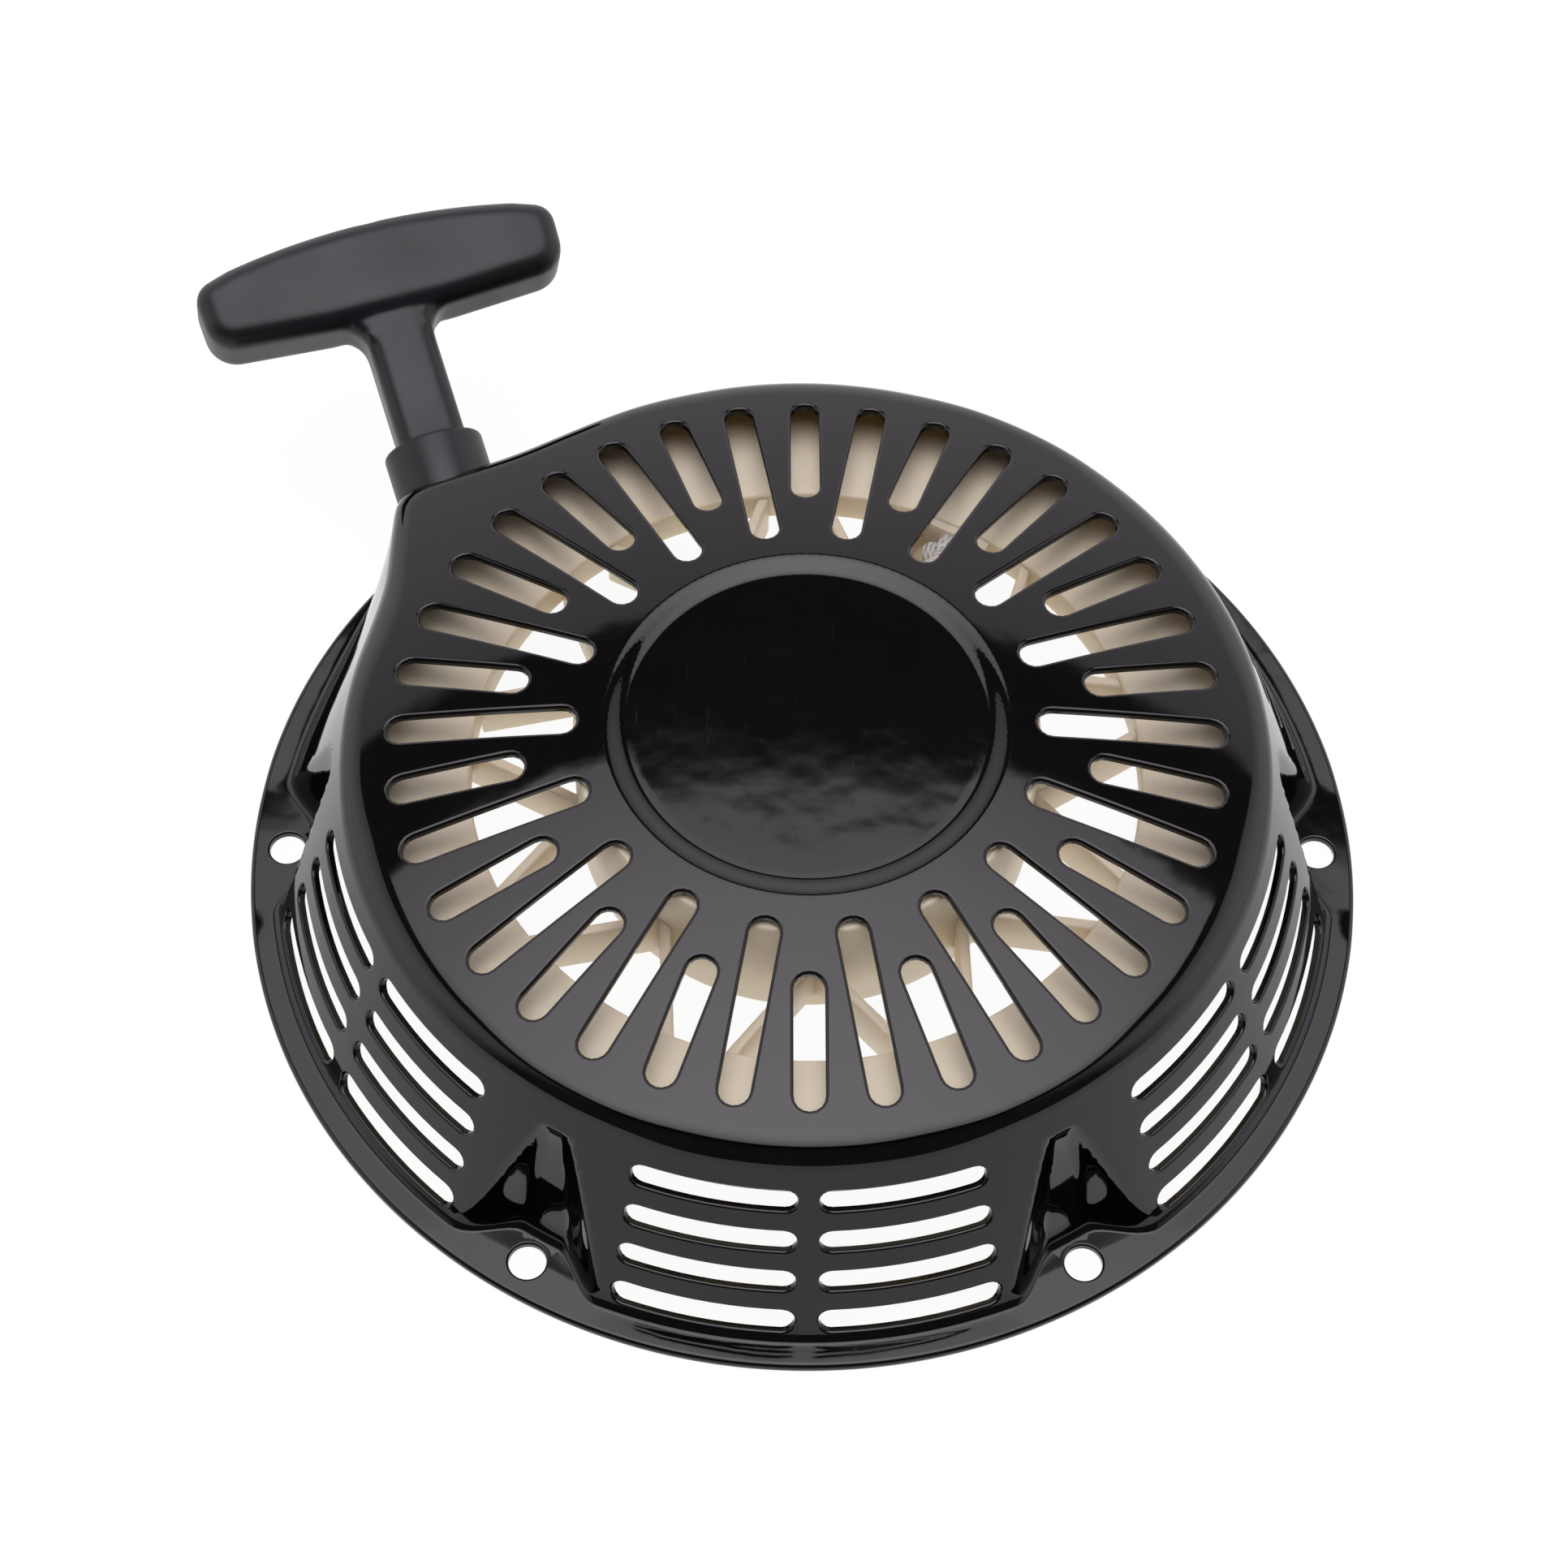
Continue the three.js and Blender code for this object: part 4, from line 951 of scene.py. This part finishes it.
def handle():
    """The grip and stem as one moulding, with the knot's recess in its far side."""
    flat, half = GRIP_THICK / 2, STEM_THICK / 2
    lay_down = OUTLET @ Matrix.Rotation(math.pi / 2, 4, "X")
    head = cushion("head", grip_outline(), flat, GRIP_ROUND, PLASTIC, lay_down)
    right, left = [(STEM_HALF, -half), (STEM_HALF, half)], [(-STEM_HALF, half), (-STEM_HALF, -half)]
    corners = [(x, y, 3.6) for x, y in right + left]
    stem = plate("stem", rounded(corners, 8), [], STEM_START, GRIP_NEAR + 6, PLASTIC, 0.9, OUTLET)
    neck = cushion("neck", neck_outline(), half - 0.2, 3.2, PLASTIC, lay_down)
    piece = remeshed(joined("t_handle", [head, stem, neck]), 0.45, 16)
    recess = turned("recess", [(0, 49), (6.3, 49), (6.5, 70), (0, 70)], PLASTIC, 48, OUTLET)
    bore = turned("bore", [(0, 5), (2.65, 5), (2.65, 52), (0, 52)], PLASTIC, 32, OUTLET)
    for cutter in (recess, bore):
        with_modifier(piece, "BOOLEAN", operation="DIFFERENCE", object=cutter, solver="EXACT")
        bpy.data.objects.remove(cutter)
    shaded(piece, 45)
    return finished(piece, "handle", "black_plastic", "handle_grip")


def rope_stopper():
    profile = rounded([(2.7, 49.3, 0.2), (6, 49.3, 0.25), (6, 50.4, 0.25), (2.7, 50.4, 0.2)], 3)
    return finished(turned("stopper_washer", profile, ZINC, 64, OUTLET), "handle", "steel", "rope_stopper")


def overhand_knot(size, flat, rope_r, count=140):
    """The closed path of an overhand knot pulled tight, about the origin."""
    t = 2 * np.pi * np.arange(count) / count
    x = (np.sin(t) + 2 * np.sin(2 * t)) * size / 3
    y = (np.cos(t) - 2 * np.cos(2 * t)) * size / 3
    return np.stack([x, y, -np.sin(3 * t) * (flat - rope_r)], -1)


def handle_knot():
    place = OUTLET @ Matrix.Translation((0, 0, 54.4))
    piece = tube("handle_knot_rope", overhand_knot(3.7, 3.6, 1.9), 1.75, ROPE, 14, True, place)
    return finished(piece, "handle", "rope", "handle_knot")


def lead_points():
    """The rope's way from the reel through the guide and the stem."""
    x, y = polar(ROPE_LEAVES_R, ROPE_LEAVES_AZIMUTH)
    dx, dy = polar(1.0, ROPE_LEAVES_AZIMUTH - 90)
    inside_cover = [(x + d * dx, y + d * dy, ROPE_Z) for d in (0, 3, 14, 25)]
    outside = [tuple(OUTLET @ Vector((0, 0, s))) for s in (-6.5, -1, 6, 20, 35, 50.1)]
    return inside_cover + outside


def rope_lead():
    piece = tube("starter_rope_lead", smooth_path(lead_points(), 0.8), 2.2, ROPE, 18)
    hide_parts("rope_lead")
    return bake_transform(piece)


def rope_coil():
    """The wound rope: an even spiral in the groove, from the drum outwards."""
    inner = DRUM_R + ROPE_R + 0.1
    t = np.linspace(0, 1, round(COIL_TURNS * 150))
    a = np.radians(KNOT_AZIMUTH + 6) + t * COIL_TURNS * 2 * np.pi
    r = inner + (COIL_OUTER_R - inner) * t
    path = np.stack([r * np.cos(a), r * np.sin(a), ROPE_Z + 0.12 * np.sin(7 * a)], -1)
    piece = tube("wound_rope", path, 2.05, ROPE, 12)
    return finished(piece, "reel", "rope", "rope_coil")


def reel_knot():
    turn = Matrix.Rotation(math.radians(KNOT_AZIMUTH), 4, "Z")
    place = turn @ Matrix.Translation((KNOT_R, 0, ROPE_Z + 0.2))
    knot = tube("knot", overhand_knot(3.0, 3.2, 1.7), 1.6, ROPE, 14, True, place)
    inwards = [(x, 0.0, 0.0) for x in np.linspace(0, DRUM_R - KNOT_R, 14)]
    tail = tube("tail", inwards, 2.0, ROPE, 14, False, place)
    return finished(joined("reel_knot_rope", [knot, tail]), "reel", "rope", "reel_knot")


# ------------------------------------------------------------------ reel and recoil spring
def reel():
    """The nylon reel: rope ring, spring hub, eighteen ribs in pairs and the pocket for the rope's knot."""
    low, high = ROPE_Z - GROOVE / 2, ROPE_Z + GROOVE / 2
    ring = turned("ring", rounded([
        (RING_R, REEL_LOW, 0.5), (REEL_R, REEL_LOW, 0.5), (REEL_R, low, 0.4), (DRUM_R, low, 0.6),
        (DRUM_R, high, 0.6), (REEL_R, high, 0.4), (REEL_R, REEL_HIGH, 0.5), (RING_R, REEL_HIGH, 0.7)], 4),
        NYLON, 240)
    inner = HUB_R - HUB_WALL
    hub = turned("hub", rounded([
        (HUB_BORE_R, BOSS_LOW, 0.4), (BOSS_R, BOSS_LOW, 0.5), (BOSS_R, HUB_LOW, 1.0), (HUB_R, HUB_LOW, 1.0),
        (HUB_R, HUB_HIGH, 0.8), (inner, HUB_HIGH, 0.8), (inner, HUB_FLOOR, 1.2), (11, HUB_FLOOR, 0.8),
        (11, 22.5, 0.4), (HUB_BORE_R, 22.5, 0.4)], 4), NYLON, 180)
    pieces = [ring, hub]
    half = SPOKE_THICK / 2
    for i in range(SPOKE_PAIRS):
        middle = SPOKE_FIRST + i * 360 / SPOKE_PAIRS
        for side in (-1, 1):
            a = Vector(polar(HUB_R - 1.2, middle))
            b = Vector(polar(RING_R + 0.8, middle + side * SPOKE_SPREAD))
            turn = math.atan2((b - a).y, (b - a).x)
            place = Matrix.Translation((a.x, a.y, 0)) @ Matrix.Rotation(turn, 4, "Z")
            length = (b - a).length
            bar = [(-0.4, -half), (length, -half), (length, half), (-0.4, half)]
            pieces.append(plate("rib", bar, [], SPOKE_LOW, SPOKE_HIGH, NYLON, 0.55, place))
    pieces.append(knot_pocket())
    return finished(joined("reel_moulding", pieces), "reel", "nylon", "reel")


def knot_pocket():
    """A square box between hub and ring, open at the top, with a floor."""
    place = Matrix.Rotation(math.radians(KNOT_AZIMUTH), 4, "Z")
    half, wall = KNOT_SIZE / 2, KNOT_WALL
    near, far = HUB_R - 1.2, RING_R + 0.6
    frame_outline = rounded([(near, -half - wall, 0.8), (far, -half - wall, 0.8),
                             (far, half + wall, 0.8), (near, half + wall, 0.8)], 3)
    hole = rounded([(KNOT_R - half, -half, 1.2), (KNOT_R + half, -half, 1.2),
                    (KNOT_R + half, half, 1.2), (KNOT_R - half, half, 1.2)], 4)
    walls = plate("walls", frame_outline, [hole], KNOT_LOW - 2, REEL_HIGH - 0.6, NYLON, 0.5, place)
    floor = plate("floor", hole, [], KNOT_LOW - 1.9, KNOT_LOW, NYLON, 0.0, place)
    return joined("pocket", [walls, floor])


def recoil_spring():
    """A strip wound from the post to the hub's wall, its turns closer together towards the outside."""
    steps, half = SPRING_TURNS * 60, SPRING_THICK / 2
    t = np.linspace(0, 1, steps)
    a = t * SPRING_TURNS * 2 * np.pi
    r = SPRING_INNER_R + 0.2 + (SPRING_OUTER_R - SPRING_INNER_R - 0.4) * t ** 0.85
    section = ((-half, SPRING_LOW), (half, SPRING_LOW), (half, SPRING_HIGH), (-half, SPRING_HIGH))
    points = np.stack([np.stack([(r + out) * np.cos(a), (r + out) * np.sin(a), np.full(steps, z)], -1)
                       for out, z in section], 1)
    faces = [(4 * i + k, 4 * i + (k + 1) % 4, 4 * i + 4 + (k + 1) % 4, 4 * i + 4 + k)
             for i in range(steps - 1) for k in range(4)]
    last = 4 * (steps - 1)
    faces += [(3, 2, 1, 0), (last, last + 1, last + 2, last + 3)]
    piece = piece_from("recoil_strip", points.reshape(-1, 3), faces, SPRING_STEEL)
    return finished(bevelled(piece, 0.12, 1, 60), "reel", "spring_steel", "recoil_spring")


# ------------------------------------------------------------------ centre post and ratchet
def centre_post():
    profile = rounded([
        (0, 19, 0), (2.75, 19, 0.2), (2.75, 6.5, 0.4), (7, 6.5, 0.5), (7, 23, 0.4), (10, 23, 0.5),
        (10, 43.7, 1.2), (15, 44.7, 0.4), (15, 46.7, 0.6), (0, 46.7, 0)], 4)
    return finished(turned("reel_post", profile, ZINC, 96), "cover", "steel", "centre_post")


def centre_screw():
    """A hexagon flange screw, its head's corners cut back as on a real one."""
    head = plate("head", [polar(6.9, 60 * i) for i in range(6)], [], 0.6, 4.0, ZINC, 0.35)
    flange = turned("flange", rounded([(0, 3.4, 0), (6.2, 3.4, 0.3), (8.2, 4.2, 0.2), (8.2, 4.8, 0.15),
                                       (0, 4.8, 0)], 3), ZINC, 96)
    shank = turned("shank", [(0, 4.0), (2.45, 4.0), (2.45, 16.6), (2.0, 17.0), (0, 17.0)], ZINC, 48)
    return finished(joined("flange_screw", [head, flange, shank]), "cover", "steel", "centre_screw")


def thrust_washer():
    profile = rounded([(2.8, 5.1, 0.15), (12, 5.1, 0.3), (12, 6.2, 0.3), (2.8, 6.2, 0.15)], 3)
    return finished(turned("thrust_ring", profile, ZINC, 96), "cover", "steel", "thrust_washer")


def friction_spring():
    """A wire ring round the post whose end reaches out under the ratchet plate."""
    way = [(CLIP_R, 16 * i) for i in range(21)] + [(12.5, 324), (16, 326)]
    points = [(*polar(r, azimuth), CLIP_Z) for r, azimuth in way]
    piece = tube("friction_clip", smooth_path(points, 0.5), CLIP_WIRE_R, SPRING_STEEL, 14)
    return finished(piece, "cover", "spring_steel", "friction_spring")


def peg_at(share):
    dx, dy = polar(PEG_REACH, -90 + PAWL_LEAD + LAG_PAWL * share)
    return Vector((PAWL_PIVOT_R + dx, dy))


def cam_slot(count=14):
    """The outline of the slot in which a pawl's peg runs as the plate lags behind the reel."""
    half = PEG_R + 0.4
    path = []
    for i in range(count + 1):
        path.append(Matrix.Rotation(-math.radians(LAG_PLATE * i / count), 2) @ peg_at(i / count))
    heading = [(path[min(count, i + 1)] - path[max(0, i - 1)]).normalized() for i in range(count + 1)]
    right = [p + Vector((h.y, -h.x)) * half for p, h in zip(path, heading)]
    left = [p - Vector((h.y, -h.x)) * half for p, h in zip(path, heading)]

    def cap(centre, h, sign):
        return [centre + half * (Vector((h.y, -h.x)) * math.cos(a) + h * math.sin(a)) * sign
                for a in (math.pi * k / 10 for k in range(1, 10))]
    loop = right + cap(path[-1], heading[-1], 1) + left[::-1] + cap(path[0], heading[0], -1)
    return [tuple(p) for p in loop]


def ratchet_plate():
    slot = cam_slot()
    holes = [circle(PLATE_HOLE_R, 64), slot, [(-x, -y) for x, y in slot]]
    piece = plate("guide_plate", circle(PLATE_R, 180), holes, PLATE_LOW, PLATE_HIGH, ZINC, 0.25)
    return finished(piece, "ratchet_plate", "steel", "ratchet_plate")


def pawl(index, turn, pivot):
    """A lever with a peg that runs in the ratchet plate's slot."""
    lever_place = pivot @ Matrix.Rotation(math.radians(-90 + PAWL_LEAD), 4, "Z")
    edge = rounded([(*p, 1.4) for p in reversed(PAWL_EDGE)], 4)
    lever = plate("lever", edge, [circle(2.25, 32)], PAWL_LOW, PAWL_HIGH, ZINC, 0.3, lever_place)
    peg_place = turn @ Matrix.Translation((*peg_at(0), 0))
    peg = turned("peg", rounded([(0, PEG_LOW, 0), (PEG_R, PEG_LOW, 0.3), (PEG_R, PAWL_LOW + 0.5, 0),
                                 (0, PAWL_LOW + 0.5, 0)], 3), ZINC, 32, peg_place)
    finished(joined(f"pawl_lever_{index}", [lever, peg]), f"pawl_{index}", "steel", f"pawl_{index}")


def pawl_pin(index, pivot):
    profile = rounded([(0, 11.2, 0), (3.1, 11.2, 0.35), (3.1, 12.1, 0.2), (2, 12.1, 0.1),
                       (2, 19.3, 0.3), (0, 19.3, 0)], 3)
    pin = turned(f"pivot_pin_{index}", profile, ZINC, 48, pivot)
    finished(pin, "reel", "steel", f"pawl_pin_{index}")


def pawl_spring(index, pivot):
    """A coil round the pin, with a leg towards the reel's boss and one along the pawl."""
    steps, swept = 28, 470
    coil = [(*polar(RETURN_R, 110 - swept * k / steps), RETURN_LOW + RETURN_RISE * k / steps)
            for k in range(steps + 1)]
    high = 17.05
    points = [(-9.5, 4.2, RETURN_LOW), (-5, 3.4, RETURN_LOW), *coil, (3.4, -9, high), (2.2, -13, high)]
    path = smooth_path(points, 0.4)
    wire = tube(f"return_spring_{index}", path, RETURN_WIRE_R, SPRING_STEEL, 12, False, pivot)
    finished(wire, "reel", "spring_steel", f"pawl_spring_{index}")


def pawl_set(index):
    """One pawl with its pin and its spring, half a turn from the other set."""
    turn = Matrix.Rotation(math.pi * (index - 1), 4, "Z")
    pivot = turn @ Matrix.Translation((PAWL_PIVOT_R, 0, 0))
    pawl(index, turn, pivot)
    pawl_pin(index, pivot)
    pawl_spring(index, pivot)


# ------------------------------------------------------------------ camera, floor, light
CAMERA_ELEVATION, CAMERA_DISTANCE, CAMERA_ROLL, CAMERA_TURN = 57.485, 634.86, 1.350, -1.28
CAMERA_TARGET = (-4.207, 3.653, 20.7)
LENS_MM, SENSOR_MM = 72.82, 36.0


def camera():
    e, roll = math.radians(CAMERA_ELEVATION), math.radians(CAMERA_ROLL)
    back = Vector((0, -math.cos(e), math.sin(e)))
    right, up = Vector((1, 0, 0)), Vector((0, math.sin(e), math.cos(e)))
    axes = Matrix((math.cos(roll) * right + math.sin(roll) * up,
                   -math.sin(roll) * right + math.cos(roll) * up, back)).transposed()
    turn = Matrix.Rotation(math.radians(CAMERA_TURN), 3, "Z")
    data = bpy.data.cameras.new("camera")
    data.lens, data.sensor_width = LENS_MM, SENSOR_MM
    data.clip_start, data.clip_end = 0.05, 50
    eye = bpy.data.objects.new("camera", data)
    bpy.context.scene.collection.objects.link(eye)
    place = (turn @ axes).to_4x4()
    place.translation = turn @ (Vector(CAMERA_TARGET) + back * CAMERA_DISTANCE) * MM
    eye.matrix_world = place
    bpy.context.scene.camera = eye


def floor():
    """A white sweep that glows a little, so that shadows stay faint. It is clear from below."""
    material = bpy.data.materials.new("white_sweep")
    material.use_nodes = True
    shader = material.node_tree.nodes["Principled BSDF"]
    shader.inputs["Base Color"].default_value = (0.06, 0.06, 0.06, 1)
    shader.inputs["Emission Color"].default_value = (1, 1, 1, 1)
    shader.inputs["Emission Strength"].default_value = 0.93
    shader.inputs["Roughness"].default_value = 0.9
    shader.inputs["Specular IOR Level"].default_value = 0.1
    tree = material.node_tree
    clear, choice = tree.nodes.new("ShaderNodeBsdfTransparent"), tree.nodes.new("ShaderNodeMixShader")
    tree.links.new(tree.nodes.new("ShaderNodeNewGeometry").outputs["Backfacing"], choice.inputs[0])
    tree.links.new(shader.outputs[0], choice.inputs[1])
    tree.links.new(clear.outputs[0], choice.inputs[2])
    tree.links.new(choice.outputs[0], tree.nodes["Material Output"].inputs["Surface"])
    half, low = 6000, -0.15
    corners = [(-half, -half, low), (half, -half, low), (half, half, low), (-half, half, low)]
    piece = piece_from("sweep", corners, [(0, 1, 2, 3)], material)
    piece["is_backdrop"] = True


# brightness of the studio at each height above the horizon: (elevation, radiance)
STUDIO = ((-5, 1.3), (28, 1.55), (40, 1.25), (48.3, 0.95), (49.1, 0.08), (57.0, 0.08), (57.5, 2.1), (62, 2.6),
          (68, 3.4), (90, 4.5))
DARK_SIDE = 0.07               # what is left of it towards -Y, below the overhead light


def studio():
    """A round studio: pale walls, a dark gap, a large soft light overhead, and a dark side towards -Y."""
    world = bpy.data.worlds.new("studio")
    bpy.context.scene.world = world
    world.use_nodes = True
    tree = world.node_tree
    place = tree.nodes.new("ShaderNodeTexCoord")
    parts = tree.nodes.new("ShaderNodeSeparateXYZ")
    tree.links.new(place.outputs["Generated"], parts.inputs[0])
    ramp = tree.nodes.new("ShaderNodeValToRGB")
    tree.links.new(parts.outputs[2], ramp.inputs[0])
    stops = ramp.color_ramp.elements
    brightest = max(level for _, level in STUDIO)
    while len(stops) < len(STUDIO):
        stops.new(0.5)
    for stop, (elevation, level) in zip(stops, STUDIO):
        stop.position = max(0.0, math.sin(math.radians(elevation)))
        stop.color = (level / brightest, 0.955 * level / brightest, 1.01 * level / brightest, 1)

    def eased(output, low, high, to_low, to_high):
        node = tree.nodes.new("ShaderNodeMapRange")
        node.interpolation_type = "SMOOTHSTEP"
        tree.links.new(output, node.inputs["Value"])
        return set_range(node, low, high, to_low, to_high)
    kept = tree.nodes.new("ShaderNodeMath")
    kept.operation = "MAXIMUM"
    tree.links.new(eased(parts.outputs[1], -0.55, -0.1, DARK_SIDE, 1.0), kept.inputs[0])
    tree.links.new(eased(parts.outputs[2], 0.80, 0.84, 0.0, 1.0), kept.inputs[1])
    strength = tree.nodes.new("ShaderNodeMath")
    strength.operation = "MULTIPLY"
    tree.links.new(kept.outputs[0], strength.inputs[0])
    strength.inputs[1].default_value = brightest
    back = tree.nodes["Background"]
    tree.links.new(ramp.outputs[0], back.inputs["Color"])
    tree.links.new(strength.outputs[0], back.inputs["Strength"])


bpy.context.scene.view_settings.view_transform = "Standard"
camera()
floor()
studio()
housing()
rope_guide()
handle()
rope_stopper()
handle_knot()
rope_lead()
rope_coil()
reel_knot()
reel()
recoil_spring()
centre_post()
centre_screw()
thrust_washer()
friction_spring()
ratchet_plate()
for pawl_index in (1, 2):
    pawl_set(pawl_index)

boxes = {"cad": CAD_BOX, "visual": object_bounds()}
{name: [list(corner) for corner in box] for name, box in boxes.items()}
